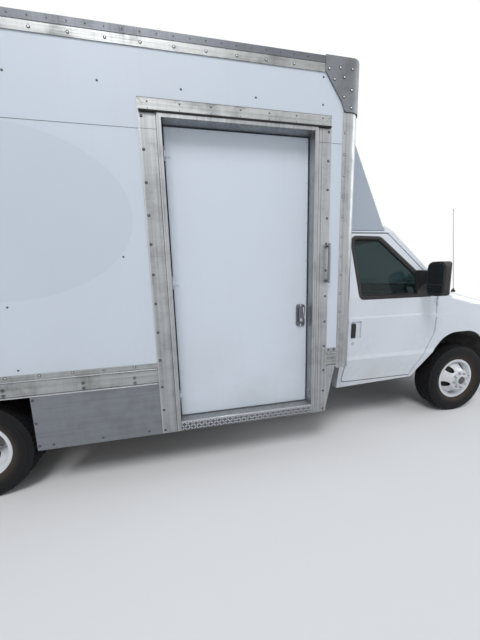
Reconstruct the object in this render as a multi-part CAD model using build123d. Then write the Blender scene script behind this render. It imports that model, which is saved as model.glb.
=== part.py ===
from build123d import *
import math
import os

# Cutaway box truck in millimetres. +X points to the front of the truck, +Y to its left, +Z up.
# The ground is Z 0, and the origin lies midway between the front bumper and the rear step.
# X values are counted from the front axle, and the helper functions add AXLE_X to them.

# Overall lengths
FRONT_OVERHANG = 760.0      # front axle to the face of the front bumper
WHEELBASE = 4470.0
REAR_OVERHANG = 2130.0      # rear axle to the edge of the rear step
STEP_REACH = 213.0          # rear step behind the load body
LENGTH = FRONT_OVERHANG + WHEELBASE + REAR_OVERHANG
AXLE_X = LENGTH / 2 - FRONT_OVERHANG
REAR_AXLE = -WHEELBASE
SEAT = 0.3                  # gap between pieces of one body that only seat on each other

# Tyres and rims
TYRE_R = 372.0
TYRE_W = 223.0
TREAD_W = 176.0
RIM_R = 221.0               # outside of the rim flanges
BEAD_R = 203.0
WELL_R = 184.0
RIM_W = 152.0               # between the flanges
FLANGE_T = 8.0
RIM_T = 7.0
DISC_T = 11.0
WHEEL_OUTSET = 136.0        # mounting face to the middle plane of a rim
FRONT_TRACK = 1763.0
DUAL_TRACK = 1915.0         # between the mounting faces of the rear hubs
HUB_R = 61.0
MOUNT_R = 108.0
DRUM_R = 150.0
DRUM_W = 80.0
HUB_REACH = 10.0               # front hub beyond its mounting face
HAND_HOLES = 5
HAND_HOLE_R = 33.0
HAND_CIRCLE_R = 146.0
HAND_FIRST = 57.0           # angle of the first hand hole above the forward direction
SPINDLE_R = 27.0
SHAFT_CLEAR = 0.5           # radial running clearance of a spindle in its hub

# Steering knuckles and front suspension
KINGPIN_Y = 796.0
KINGPIN_R = 20.0
FORK_H = 110.0              # wheel centre to the ends of the fork
BEAM_H = 80.0
BEAM_W = 56.0
BEAM_PIVOT_X = 80.0         # how far each beam's pivot lies ahead of or behind the axle
BEAM_PIVOT_Y = 240.0
DAMPER_Y = 570.0
DAMPER_R = 27.0
DAMPER_COVER_R = 34.0
TOWER_Z = 800.0
RADIUS_ARM = 900.0

# Ladder frame, engine, rear axle, tank and exhaust
RAIL_OUT = 434.0            # outside of each frame rail
RAIL_W = 64.0
RAIL_H = 180.0
RAIL_T = 7.0
RAIL_BOTTOM = 500.0
RAIL_TOP = RAIL_BOTTOM + RAIL_H
RAIL_FRONT = 610.0
CROSS_W = 100.0
ENGINE = dict(rear=-330.0, front=380.0, half=230.0, top=1060.0)
ENGINE_DROP = 40.0          # the front crossmember is lowered to this height above the rails' underside
AXLE_TUBE_R = 48.0
DIFFERENTIAL_R = 150.0
SHAFT_R = 42.0
LEAF_T = 12.0
LEAF_W = 75.0
LEAF_RADIUS = 6145.0
LEAF_HALVES = [700.0, 590.0, 470.0, 330.0]      # main leaf first
TANK = dict(behind=470.0, length=770.0, half=340.0, low=420.0, high=640.0, corner=60.0)
PIPE_R = 32.0
MUFFLER_R = 90.0
PIPE_Y = 300.0
PIPE_Z = 400.0

# Cab and nose
CAB_BACK = -1478.0
COWL_X = -75.0
COWL_Z = 1376.0
FIREWALL_X = -420.0
NOSE_X = 640.0
ROCKER_Z = 424.0
BELT_Z = 1342.0
ROOF_Z = 2085.0
FLOOR_Z = 720.0
FLOOR_T = 30.0
CAB_WALL = 50.0
PANEL_T = 18.0
GLASS_T = 5.0
GLASS_IN = 16.0
DOOR_GAP = 10.0
# half width, height, corner radius, from the rocker over the creases and the belt to the roof
CAB_SECTION = [(950, ROCKER_Z), (966, 520), (1010, 724), (1003, 762), (1012, 1137), (1005, 1153),
               (1000, BELT_Z),
               (884, 1965, 60), (838, 2050, 120), (0, ROOF_Z)]
# X, Z, corner radius of the body below the hood line, then of the glasshouse
LOWER_SIDE = [(CAB_BACK, ROCKER_Z), (NOSE_X - 40, 508), (NOSE_X, 700, 60), (NOSE_X, 1120, 50),
              (NOSE_X - 60, 1218, 90), (COWL_X, 1390), (CAB_BACK, 1390)]
UPPER_SIDE = [(CAB_BACK, 1300), (-50, 1300), (-50, 1400), (-735, 1985, 60), (-1050, ROOF_Z + 1, 300),
              (CAB_BACK, ROOF_Z + 1)]
# X, Y, corner radius of the body seen from above
BODY_PLAN = [(CAB_BACK, -1020), (-300, -1020), (420, -985), (NOSE_X, -900, 150), (NOSE_X + 12, 0),
             (NOSE_X, 900, 150), (420, 985), (-300, 1020), (CAB_BACK, 1020)]
RAKE = Vector(-618, 0, 595)         # direction in which the windshield surface is drawn up
SCREEN_X = -110.0                   # its middle at the cowl
SCREEN_Z = 1370.0
SCREEN_BOW = 187.0                  # how far its ends lie behind its middle
SCREEN_HALF = 1100.0
SCREEN_HOLE = [(830, 1425, 60), (752, 1930, 70), (-752, 1930, 70), (-830, 1425, 60)]    # Y, Z, radius
HOOD_RAKE = Vector(655, 0, -173)    # direction in which the crowned hood surface is drawn forward
HOOD_SECTION = [(1003, 300), (1003, 1340, 95), (720, 1376), (0, 1390)]                  # Y, Z, radius
HOOD_HALF = 775.0
SHOULDER_X = -378.0                 # where the fenders' rounded shoulders run out on the cab's side
HOOD_LOW = 1150.0
HOOD_GAP = 6.0
HOOD_HINGE_X = -70.0
HOOD_HINGE_Z = 1384.0
HOOD_HINGE_Y = 610.0
HOOD_BARREL_R = 5.0
HOOD_BARREL_W = 20.0
HOOD_PIN_R = 2.5
# X, Z, corner radius, anticlockwise: a cab door, its window, the wheel arch and the gap line behind the fender
DOOR_OUTLINE = [(-1432, 488, 30), (-628, 488), (-470, 779, 60), (-388, 952, 60), (-388, 1440, 40),
                (-925, 1955, 60), (-1428, 1955, 90), (-1400, 1200), (-1410, 700)]
WINDOW_OUTLINE = [(-1262, 1348, 25), (-470, 1348, 12), (-455, 1402, 15), (-1017, 1898, 50), (-1316, 1905, 40)]
ARCH_OUTLINE = [(-734, 285), (694, 285), (192, 925, 300), (-232, 925, 300)]
FENDER_OUTLINE = [(-378, 1334), (-378, 952), (-460, 779), (-618, 488), (-618, 300), (NOSE_X, 300),
                  (NOSE_X, 1334)]
FENDER_FRONT_Z = 668.0              # underside of the fenders ahead of the arches
ARCH_INNER_Y = 470.0
LINER_T = 6.0
LINER_LOW = 470.0
DRIP = dict(rear=-1420.0, front=-905.0, low=1964.0, high=1976.0, reach=8.0)
CAB_HINGE_X = -383.0
CAB_HINGE_Y = 1014.0
CAB_HINGES = [1010.0, 1270.0]       # middle heights of a cab door's two hinges
CAB_BARREL_R = 4.0
CAB_BARREL_H = 30.0
CAB_PIN_R = 2.0
# A cab door's pull handle in its recess
PULL = dict(rear=-1371.0, front=-1323.0, low=950.0, high=1089.0)
RECESS = dict(rear=-1374.0, front=-1262.0, low=945.0, high=1112.0, depth=12.0)
# Mirror: sail (X, Z), arm and head (X, Y, corner radius)
SAIL = [(-632, 1350), (-480, 1350), (-462, 1400), (-632, 1552)]
MIRROR_PLAN = [(-560, -1288, 40), (-520, -1180, 30), (-600, -1100, 20), (-640, -1100, 10), (-640, -1288, 10)]
MIRROR_LOW = 1343.0
MIRROR_HIGH = 1661.0
MIRROR_CORNER = 62.0
MIRROR_ARM = [(-1150, 1478, 20), (-1150, 1566, 30), (-985, 1588, 30), (-940, 1588), (-940, 1352),
              (-985, 1352, 40),
              (-1030, 1450, 60)]                        # Y, Z, corner radius
MIRROR_ARM_PLAN = [(-622, -940), (-600, -1150, 15), (-566, -1150, 15), (-500, -985, 40), (-486, -940)]
GRILLE = dict(half=545.0, low=700.0, high=1125.0, rim=40.0)
GRILLE_BARS = [(800, 26), (885, 26), (970, 26), (1040, 26)]     # height of the lower edge, width
GRILLE_POSTS = [-340, -170, 0, 170, 340]
LAMP = dict(inner=565.0, outer=900.0, low=850.0, high=1120.0, depth=190.0)
BUMPER = dict(low=430.0, high=660.0, t=6.0, arm=50.0, half=1000.0)
PLATE_PITCH = 177.8
PLATE_HOLE_R = 3.5
PLATE_Z = 560.0
SEAT_Y = 430.0
WHEEL_CENTRE = (-700.0, 430.0, 1220.0)

# Load body
BODY_HALF = 1219.0
BODY_FRONT = -1510.0
BODY_REAR = REAR_AXLE - REAR_OVERHANG + STEP_REACH
BODY_TOP = 3157.0
BODY_WALL = 38.0
ROOF_T = 32.0
ROOF_LIP = 7.0
ROOF_UNDER = BODY_TOP - ROOF_LIP - ROOF_T
ROOF_BOWS = 9
BOW_H = 28.0
RAIL_LIP = 897.0            # top of the bottom rail
RAIL_LOW = 772.0            # underside of the bottom rail
RAIL_REACH = 16.0           # how far the bottom rail's lips stand out
TOP_RAIL_H = 104.0
TOP_RAIL_T = 6.0
LOAD_FLOOR_Z = 900.0
BOARD_T = 38.0
SILL_H = 76.0
SILL_COUNT = 12
POST_R = 85.0
POST_BOTTOM = 749.0
POST_LEAF = 149.0           # width of a corner post's flanges
POST_LEAF_T = 3.0
CAP_T = 5.0
# X from the body's front, Z below the body's top, corner radius
CAP_SIDE = [(36, -357), (36, 43), (-309, 43), (-309, -97, 20), (-171, -288), (-143, -357, 20)]

# Side doorway
FRAME_REAR = -3174.0
FRAME_FRONT = -1756.0
FRAME_TOP = BODY_TOP - 392.0
FRAME_BOTTOM = 350.0
DOORWAY_REAR = FRAME_REAR + 149.0
DOORWAY_FRONT = FRAME_FRONT - 139.0
DOORWAY_TOP = FRAME_TOP - 115.0
FRAME_SILL_Z = 430.0
FRAME_LEAF = 4.0
BEAD_W = 25.0
BEAD_T = 10.0
GUSSET_W = 86.0
JAMB_T = 30.0
JAMB_DEPTH = 135.0
WELL_INNER_Y = 700.0
WELL_T = 5.0
SIDE_DOOR_IN = 90.0
SIDE_DOOR_T = 35.0
SIDE_DOOR_GAP = 8.0
SIDE_DOOR_CORNER = 12.0
SIDE_HINGE_IN = 6.0
SIDE_HINGE_OUT = 8.0
SIDE_HINGES = [0.085, 0.5, 0.915]       # heights as parts of the doorway's
SIDE_BARREL_R = 5.5
SIDE_PIN_R = 2.5
PADDLE = dict(ahead=27.0, width=78.0, low=1134.0, high=1323.0)
GRAB = dict(x=FRAME_FRONT - 16.0, out=45.0, low=1502.0, high=1820.0, r=10.0)
SKIRT_REAR = REAR_AXLE + TYRE_R + 36.0
SKIRT_LOW = 349.0
SKIRT_T = 3.0

# Rear doorway, its doors, step and lamps
REAR_POST_W = 80.0
REAR_POST_D = 80.0
REAR_HEAD_Z = BODY_TOP - 172.0
REAR_SILL_Z = 905.0
REAR_DOOR_T = 40.0
REAR_DOOR_GAP = 6.0
HINGE_OUT = 25.0
HINGE_BACK = 45.0
REAR_HINGES = [0.084, 0.334, 0.647, 0.911]      # heights as parts of the rear doorway's
REAR_PIN_R = 5.0
REAR_BARREL_R = 12.0
STRAP_HALF = 30.0
STRAP_REACH = 170.0
ROD_YS = [260.0, 820.0]
ROD_R = 13.0
ROD_GUIDES = [0.026, 0.286, 0.623, 0.969]       # heights as parts of the rear doorway's
STEP_TOP = 600.0
TAIL_Z = 840.0
TAIL_R = 50.0

# Wind fairing over the cab: X, Z, radius of its side, then half width and height of its section
FAIRING_LOW = 1987.0
FAIRING_TOP = BODY_TOP - 197.0
FAIRING_T = 8.0
FAIRING_LIP = 30.0
FAIRING_SIDE = [(-962, FAIRING_LOW), (-1310, BODY_TOP - 372, 200), (-1440, FAIRING_TOP, 80)]
FAIRING_SECTION = [(880, FAIRING_LOW), (850, BODY_TOP - 372), (842, FAIRING_TOP - 60, 120),
                   (0, FAIRING_TOP + 5)]

NODES = {}


def add(name, solid):
    """Keep a finished sub-part under its node's name."""
    NODES[name] = solid


def block(x0, x1, y0, y1, z0, z1):
    """Box between two corners."""
    middle = Pos(AXLE_X + (x0 + x1) / 2, (y0 + y1) / 2, (z0 + z1) / 2)
    return middle * Box(x1 - x0, y1 - y0, z1 - z0)


def rounded(points):
    """Face of an outline of (a, b) or (a, b, corner radius) points."""
    face = make_face(Polyline(*[(p[0], p[1]) for p in points], close=True)).faces()[0]
    for p in points:
        if len(p) > 2 and p[2] > 0:
            corner = min(face.vertices(), key=lambda v: math.hypot(v.X - p[0], v.Y - p[1]))
            face = face.fillet_2d(p[2], [corner])
    return face


def inset(points, distance):
    """The same outline with every side moved inwards; its points run anticlockwise."""
    moved = []
    count = len(points)
    for i in range(count):
        before, here, after = points[i - 1], points[i], points[(i + 1) % count]
        ax, ay = here[0] - before[0], here[1] - before[1]
        bx, by = after[0] - here[0], after[1] - here[1]
        la, lb = math.hypot(ax, ay), math.hypot(bx, by)
        ax, ay, bx, by = ax / la, ay / la, bx / lb, by / lb
        turn = 1 + ax * bx + ay * by
        radius = here[2] if len(here) > 2 else 0
        if ax * by - ay * bx > 0:
            radius = max(radius - distance, 0)
        elif radius:
            radius = radius + distance
        moved.append((here[0] - (ay + by) * distance / turn, here[1] + (ax + bx) * distance / turn, radius))
    return moved


def mirrored(half):
    """Outline of a half given from its lower outside to the middle, closed by its mirror image."""
    return list(half) + [(-a, *rest) for a, *rest in reversed(half) if a]


def side_prism(points, y0, y1):
    """Prism of an X-Z outline between two Y planes."""
    plane = Plane(origin=(AXLE_X, y1, 0), x_dir=(1, 0, 0), z_dir=(0, -1, 0))
    return extrude(plane * rounded(points), amount=y1 - y0)


def section_prism(points, x0, x1):
    """Prism of a Y-Z outline between two X planes."""
    plane = Plane(origin=(AXLE_X + x0, 0, 0), x_dir=(0, 1, 0), z_dir=(1, 0, 0))
    return extrude(plane * rounded(points), amount=x1 - x0)


def plan_prism(points, z0, z1):
    """Prism of an X-Y outline between two levels."""
    plane = Plane(origin=(AXLE_X, 0, z0), x_dir=(1, 0, 0), z_dir=(0, 0, 1))
    return extrude(plane * rounded(points), amount=z1 - z0)


def upright(x, y, z0, z1, radius):
    """Vertical cylinder."""
    return Pos(AXLE_X + x, y, (z0 + z1) / 2) * Cylinder(radius, z1 - z0)


def crosswise(x, z, y0, y1, radius):
    """Cylinder along Y."""
    return Pos(AXLE_X + x, (y0 + y1) / 2, z) * Rot(90, 0, 0) * Cylinder(radius, y1 - y0)


def lengthwise(y, z, x0, x1, radius):
    """Cylinder along X."""
    return Pos(AXLE_X + (x0 + x1) / 2, y, z) * Rot(0, 90, 0) * Cylinder(radius, x1 - x0)


def other_side(solid):
    """Mirror image across the middle of the truck."""
    return mirror(solid, Plane.XZ)


def both_sides(solid):
    """The solid with its mirror image, as one node."""
    return Compound(children=[*solid.solids(), *other_side(solid).solids()])


def add_pair(name, right):
    """Keep a right piece and its mirror image as two nodes."""
    add(name + "_right", right)
    add(name + "_left", other_side(right))


def section_points(depth, bottom=None):
    """Y-Z outline across the cab, moved inwards by a depth, its underside at another level if given."""
    points = inset(mirrored(CAB_SECTION), depth)
    if bottom is None:
        return points
    return [(points[0][0], bottom), *points[1:-1], (points[-1][0], bottom)]


def lower_side(depth, bottom=None):
    """X-Z outline of the body under the belt and hood line."""
    points = inset(LOWER_SIDE, depth)
    if bottom is None:
        return points
    return [(points[0][0], bottom), (points[1][0], bottom), *points[2:]]


def upper_side(depth):
    """X-Z outline of the glasshouse, its foot left level and its front to the windshield surface."""
    points = inset(UPPER_SIDE, depth)
    return [(points[0][0], UPPER_SIDE[0][1]), (points[1][0], UPPER_SIDE[1][1]), *points[2:]]


def raked_front(depth):
    """Everything behind the bowed and raked windshield surface, moved back by a depth."""
    drop = 100.0
    middle = AXLE_X + SCREEN_X - (depth * RAKE.length + drop * RAKE.X) / RAKE.Z
    end = middle - SCREEN_BOW
    back = AXLE_X + CAB_BACK - drop
    arc = ThreePointArc((end, -SCREEN_HALF), (middle, 0), (end, SCREEN_HALF))
    rest = Polyline((end, SCREEN_HALF), (back, SCREEN_HALF), (back, -SCREEN_HALF), (end, -SCREEN_HALF))
    return extrude(Pos(0, 0, SCREEN_Z - drop) * make_face([arc, rest]), amount=1400, dir=RAKE)


def hood_front(depth, back=10.0):
    """Everything under the crowned hood surface with its rounded shoulders, lowered by a depth."""
    rise = -back * HOOD_RAKE.Z / HOOD_RAKE.X
    plane = Plane(origin=(AXLE_X + COWL_X - back, 0, rise - 15), x_dir=(0, 1, 0), z_dir=(1, 0, 0))
    return extrude(plane * rounded(inset(mirrored(HOOD_SECTION), depth)), amount=900 + back, dir=HOOD_RAKE)


def body_form(depth, bottom=None):
    """Outer forms of nose and cab with every face moved inwards by a depth."""
    long_section = section_prism(section_points(depth, bottom), CAB_BACK - 50, NOSE_X + 50)
    low = side_prism(lower_side(depth, bottom), -1100, 1100) & long_section
    low = low & plan_prism(inset(BODY_PLAN, depth), 0, 1600)
    nose = low & block(COWL_X, NOSE_X + 50, -1100, 1100, 0, 1600) & hood_front(depth)
    rear = low & block(CAB_BACK, COWL_X, -1100, 1100, 0, COWL_Z)
    cowl = block(SHOULDER_X, COWL_X + 1, -1100, 1100, 1100, COWL_Z + 1)
    rear = rear - (cowl - hood_front(depth, COWL_X - SHOULDER_X + 10))
    high = side_prism(upper_side(depth), -1100, 1100) & long_section & raked_front(depth)
    return nose, rear + high


def skin_shell(outer, inner):
    """Shell between two depths of the cab's section, with open ends."""
    return (section_prism(section_points(outer, 0), CAB_BACK, 0)
            - section_prism(section_points(inner, 0), CAB_BACK, 0))


def arch_cut(inner, grow=0.0):
    """Prism through the wheel arches of both sides, from an inner Y outwards."""
    right = side_prism(inset(ARCH_OUTLINE, -grow), -1200, -inner)
    return right + other_side(right)


def make_cab():
    """Cab shell with its cavity, doorways, windshield and drip rails."""
    inner_section = section_prism(section_points(CAB_WALL, 0), CAB_BACK - 50, NOSE_X + 50)
    low_room = block(CAB_BACK + CAB_WALL, FIREWALL_X, -1100, 1100, FLOOR_Z, BELT_Z - 10) & inner_section
    high_room = side_prism(upper_side(CAB_WALL), -1100, 1100) & inner_section & raked_front(CAB_WALL)
    high_room = high_room & block(CAB_BACK, 0, -1100, 1100, BELT_Z - 10, ROOF_Z)
    bay = block(FIREWALL_X + 75, NOSE_X, -1100, 1100, 0, 1290)
    under = block(CAB_BACK - 10, NOSE_X, -880, 880, 0, FLOOR_Z - FLOOR_T)
    shell = CAB_OUT - low_room - high_room - bay - under
    shell = shell - (side_prism(FENDER_OUTLINE, -1100, 1100) - SKIN_IN) - arch_cut(ARCH_INNER_Y)
    doorway = side_prism(inset(DOOR_OUTLINE, -DOOR_GAP), -1100, -700)
    screen = section_prism(SCREEN_HOLE, -1200, 0)
    shell = shell - doorway - other_side(doorway) - screen
    drip = skin_shell(-DRIP["reach"], 1) & block(DRIP["rear"], DRIP["front"], -1100, -700, DRIP["low"],
                                                 DRIP["high"])
    shell = shell + drip + other_side(drip)
    glass = (raked_front(GLASS_IN) - raked_front(GLASS_IN + GLASS_T)) & screen
    add("windshield", glass & block(-1200, 0, -900, 900, 1300, 2000))
    return shell


def cab_hinges(z):
    """A right cab door's barrel and bore, and the lugs with the pin on the fender, at one height."""
    x, y, half = CAB_HINGE_X, -CAB_HINGE_Y, CAB_BARREL_H / 2
    barrel = upright(x, y, z - half, z + half, CAB_BARREL_R) + block(x - 14, x, y + 2, y + 16, z - half,
                                                                     z + half)
    bore = upright(x, y, z - 60, z + 60, CAB_PIN_R + SHAFT_CLEAR)
    lugs = upright(x, y, z - half - 26, z + half + 26, CAB_PIN_R)
    for low in (z - half - 26, z + half + 1):
        lugs = lugs + upright(x, y, low, low + 25, CAB_BARREL_R)
        lugs = lugs + block(x, x + 12, y + 2, y + 16, low, low + 25)
    return barrel, bore, lugs


def make_cab_doors():
    """Cab doors with their windows, glass, mirrors and pull handles."""
    window = side_prism(WINDOW_OUTLINE, -1100, -700)
    inner_section = section_prism(section_points(CAB_WALL, 0), CAB_BACK - 50, NOSE_X + 50)
    recess = block(RECESS["rear"], RECESS["front"], -1100, -700, RECESS["low"], RECESS["high"])
    recess = recess - section_prism(section_points(RECESS["depth"], 0), CAB_BACK, 0)
    door = (CAB_OUT & side_prism(DOOR_OUTLINE, -1100, -700)) - inner_section - window - recess
    for z in CAB_HINGES:
        barrel, bore, _ = cab_hinges(z)
        door = door + barrel - bore
    pull = block(PULL["rear"], PULL["front"], -1100, -700, PULL["low"], PULL["high"])
    pull = fillet((pull & skin_shell(-6, RECESS["depth"] - SEAT)).edges().filter_by(Axis.Y), 10)
    add_pair("cab_door", door)
    add_pair("door_glass", skin_shell(GLASS_IN, GLASS_IN + GLASS_T) & window)
    add_pair("mirror_and_handle", Compound(children=[*make_mirror().solids(), *pull.solids()]))


def make_mirror():
    """Right door mirror: sail over the window's front corner, arm and head."""
    sail = side_prism(SAIL, -1100, -700) & skin_shell(-6, GLASS_IN)
    arm = section_prism(MIRROR_ARM, -700, -400) & plan_prism(MIRROR_ARM_PLAN, MIRROR_LOW, MIRROR_HIGH)
    arm = arm - section_prism(section_points(-SEAT, 0), CAB_BACK, 0)
    corner = MIRROR_CORNER
    face = [(-1288, MIRROR_LOW, corner), (-1100, MIRROR_LOW, corner), (-1100, MIRROR_HIGH, corner),
            (-1288, MIRROR_HIGH, corner)]
    head = plan_prism(MIRROR_PLAN, MIRROR_LOW, MIRROR_HIGH) & section_prism(face, -700, -480)
    return sail + arm + head


def make_nose(shell):
    """Hood with its hinges, fenders, headlamps, grille and arch liners; returns the shell with its lugs."""
    skin = NOSE_OUT + (CAB_OUT & side_prism(FENDER_OUTLINE, -1100, 1100))
    skin = skin - NOSE_IN - (SKIN_IN & block(CAB_BACK, COWL_X + 1, -1100, 1100, 0, 1500))
    hood = skin & block(COWL_X + 10, NOSE_X + 50, -HOOD_HALF, HOOD_HALF, HOOD_LOW, 1600)
    hood_cut = block(COWL_X - 1, NOSE_X + 50, -HOOD_HALF - HOOD_GAP, HOOD_HALF + HOOD_GAP,
                     HOOD_LOW - HOOD_GAP, 1600)
    x, z, r, w = HOOD_HINGE_X, HOOD_HINGE_Z, HOOD_BARREL_R, HOOD_BARREL_W
    for y in (-HOOD_HINGE_Y - w / 2, HOOD_HINGE_Y - w / 2):
        barrel = crosswise(x, z, y, y + w, r) + block(x, COWL_X + 14, y, y + w, z - 34, z)
        hood = hood + barrel - crosswise(x, z, y - 30, y + w + 30, HOOD_PIN_R + SHAFT_CLEAR)
        for start in (y - w - 2, y + w + 2):
            lug = crosswise(x, z, start, start + w, r) + block(x - r, x, start, start + w, COWL_Z - 14, z)
            shell = shell + lug + block(COWL_X - 8, x, start, start + w, COWL_Z - 14, COWL_Z)
        shell = shell + crosswise(x, z, y - w - 2, y + 2 * w + 2, HOOD_PIN_R)
    fenders = skin - hood_cut - arch_cut(300) - block(-1000, COWL_X + 1, -1100, 1100, 1334, 1600)
    front = block(NOSE_X - 100, NOSE_X + 50, -GRILLE["half"], GRILLE["half"], GRILLE["low"], GRILLE["high"])
    lamp_cut = block(NOSE_X - LAMP["depth"], NOSE_X + 50, LAMP["inner"], LAMP["outer"], LAMP["low"],
                     LAMP["high"])
    fenders = fenders - front - lamp_cut - other_side(lamp_cut)
    fenders = fenders - block(NOSE_X - 300, NOSE_X + 50, -1100, 1100, 0, FENDER_FRONT_Z)
    for z in CAB_HINGES:
        lugs = cab_hinges(z)[2]
        fenders = fenders + lugs + other_side(lugs)
    liner = arch_cut(ARCH_INNER_Y, -SEAT) - arch_cut(ARCH_INNER_Y - 1, -SEAT - LINER_T)
    liner = liner - block(-1200, 1200, -1200, 1200, 0, LINER_LOW)
    add("hood", hood)
    add("front_fenders", fenders)
    add("headlamps", both_sides((NOSE_OUT & lamp_cut) - body_form(60, 0)[0]))
    add("grille", make_grille())
    add("front_bumper", make_bumper())
    add("wheel_wells", liner & section_prism(section_points(PANEL_T + SEAT, 0), -700, NOSE_X))
    return shell


def make_grille():
    """Grille surround with its bars in the nose opening."""
    half, low, high, rim = GRILLE["half"] - SEAT, GRILLE["low"] + SEAT, GRILLE["high"] - SEAT, GRILLE["rim"]
    body = block(NOSE_X - 40, NOSE_X + 4, -half, half, low, high)
    body = body - block(NOSE_X - 50, NOSE_X + 50, -half + rim, half - rim, low + rim, high - rim)
    for z, width in GRILLE_BARS:
        body = body + block(NOSE_X - 30, NOSE_X - 6, -half + rim - 1, half - rim + 1, z, z + width)
    for y in GRILLE_POSTS:
        body = body + block(NOSE_X - 28, NOSE_X - 10, y - 8, y + 8, low + rim - 1, high - rim + 1)
    return body


def make_bumper():
    """Front bumper: a bowed channel whose ends run back beside the arches, on two arms."""
    low, high, t, half = BUMPER["low"], BUMPER["high"], BUMPER["t"], BUMPER["half"]

    def outline(d, back):
        return [(FRONT_OVERHANG - d, -620, 500 - d), (NOSE_X + 10 - d, -half + d, 90 - d),
                (back, -half - 10 + d),
                (back, half + 10 - d), (NOSE_X + 10 - d, half - d,
                                        90 - d), (FRONT_OVERHANG - d, 620, 500 - d)]

    shell = plan_prism(outline(0, 470), low, high) - plan_prism(outline(t, 400), low + t, high - t)
    shell = shell - block(300, NOSE_X + 10, -960, 960, 400, 700) - arch_cut(900, 8)
    for y in (-PLATE_PITCH / 2, PLATE_PITCH / 2):
        shell = shell - lengthwise(y, PLATE_Z, NOSE_X, FRONT_OVERHANG + 10, PLATE_HOLE_R)
    for y in (-RAIL_OUT, RAIL_OUT - BUMPER["arm"]):
        shell = shell + block(RAIL_FRONT + SEAT, FRONT_OVERHANG - t, y, y + BUMPER["arm"], 520, 650)
    return shell


def make_cabin():
    """Seats, dashboard and steering wheel inside the cab."""
    seats = []
    for y in (-SEAT_Y, SEAT_Y):
        base = block(-1210, -760, y - 250, y + 250, FLOOR_Z, 905)
        cushion = fillet(block(-1240, -700, y - 265, y + 265, 905, 1030).edges().filter_by(Axis.Z), 50)
        back = side_prism([(-1240, 1030), (-1110, 1030), (-1230, 1700, 40), (-1340, 1700, 40)], y - 255,
                          y + 255)
        rest = block(-1350, -1250, y - 140, y + 140, 1695, 1860)
        seats += (base + cushion + back + rest).solids()
    add("seats", Compound(children=seats))
    dash = side_prism([(FIREWALL_X, 900), (FIREWALL_X, 1325, 10), (-560, 1325, 60), (-640, 1150, 60),
                       (-540, 900)],
                      -900, 900)
    dash = dash & section_prism(section_points(CAB_WALL + SEAT, 0), CAB_BACK, 0)
    centre = Pos(AXLE_X + WHEEL_CENTRE[0], WHEEL_CENTRE[1], WHEEL_CENTRE[2]) * Rot(0, -62, 0)
    wheel = centre * Torus(195, 15) + centre * Cylinder(45, 40)
    wheel = wheel + centre * (Box(390, 34, 14) + Box(34, 390,
                                                     14)) + centre * Pos(0, 0, -110) * Cylinder(28, 200)
    add("dashboard", dash + wheel)


def make_chassis():
    """Ladder frame, engine, tank and exhaust."""
    x0, x1 = BODY_REAR + 10, RAIL_FRONT
    out, t = RAIL_OUT - RAIL_T, RAIL_T
    rail = block(x0, x1, -RAIL_OUT, -RAIL_OUT + RAIL_W, RAIL_BOTTOM, RAIL_TOP)
    rail = rail - block(x0 - 1, x1 + 1, -out, -RAIL_OUT + RAIL_W + 1, RAIL_BOTTOM + t, RAIL_TOP - t)
    frame = rail + other_side(rail)
    tank_front = REAR_AXLE - TANK["behind"]
    tank_rear = tank_front - TANK["length"]
    hangers = [share * WHEELBASE for share in (-0.28, -0.56, -0.83)]
    for x in (0, *hangers, tank_front + CROSS_W / 2, tank_rear - CROSS_W / 2, BODY_REAR + 60):
        cross = block(x - CROSS_W / 2, x + CROSS_W / 2, -out, out, RAIL_BOTTOM + t, RAIL_TOP - t)
        cross = cross - block(x - CROSS_W, x + CROSS_W / 2 - t, -RAIL_OUT, RAIL_OUT, RAIL_BOTTOM + 2 * t,
                              RAIL_TOP - 2 * t)
        frame = frame + cross
    engine_low = RAIL_BOTTOM + ENGINE_DROP
    add("frame_rails", frame - block(-60, 60, -300, 300, engine_low, RAIL_TOP))
    add("engine_block", block(ENGINE["rear"], ENGINE["front"], -ENGINE["half"], ENGINE["half"],
                              engine_low + SEAT,
                              ENGINE["top"]))
    tank = block(tank_rear + SEAT, tank_front - SEAT, -TANK["half"], TANK["half"], TANK["low"], TANK["high"])
    add("fuel_tank", fillet(tank.edges().filter_by(Axis.X), TANK["corner"]))
    muffler = hangers[1] + 200
    pipe = lengthwise(-PIPE_Y, PIPE_Z, muffler, -300, PIPE_R)
    pipe = pipe + lengthwise(-PIPE_Y, PIPE_Z, muffler - 900, muffler, MUFFLER_R)
    pipe = pipe + lengthwise(-PIPE_Y, PIPE_Z, hangers[2] - 200, muffler - 900, PIPE_R)
    for x in hangers:
        pipe = pipe + block(x - 10, x + 10, -PIPE_Y - 16, -PIPE_Y + 16, PIPE_Z, RAIL_BOTTOM + t - SEAT)
    add("exhaust", pipe)


def ring(profile, y):
    """Ring revolved about a wheel's axis from (offset outwards, radius) points; y is its middle plane."""
    plane = Plane(origin=(0, 0, 0), x_dir=(0, -1, 0), z_dir=(1, 0, 0))
    return Pos(0, y, TYRE_R) * revolve(plane * rounded(profile), Axis.Y)


def turned(y0, y1, radius):
    """Cylinder about a wheel's axis."""
    return Pos(0, (y0 + y1) / 2, TYRE_R) * Rot(90, 0, 0) * Cylinder(radius, y1 - y0)


def tyre(y):
    """Tyre on a rim whose middle plane is at y."""
    half, bead = TYRE_W / 2, RIM_W / 2 - SEAT
    side = [(bead, BEAD_R + SEAT), (bead, RIM_R + 4), (half, 290, 30), (half - 5, 330),
            (TREAD_W / 2, TYRE_R, 14)]
    return ring([(-bead, BEAD_R + SEAT), *side, *[(-a, *rest) for a, *rest in reversed(side[1:])]], y)


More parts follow.
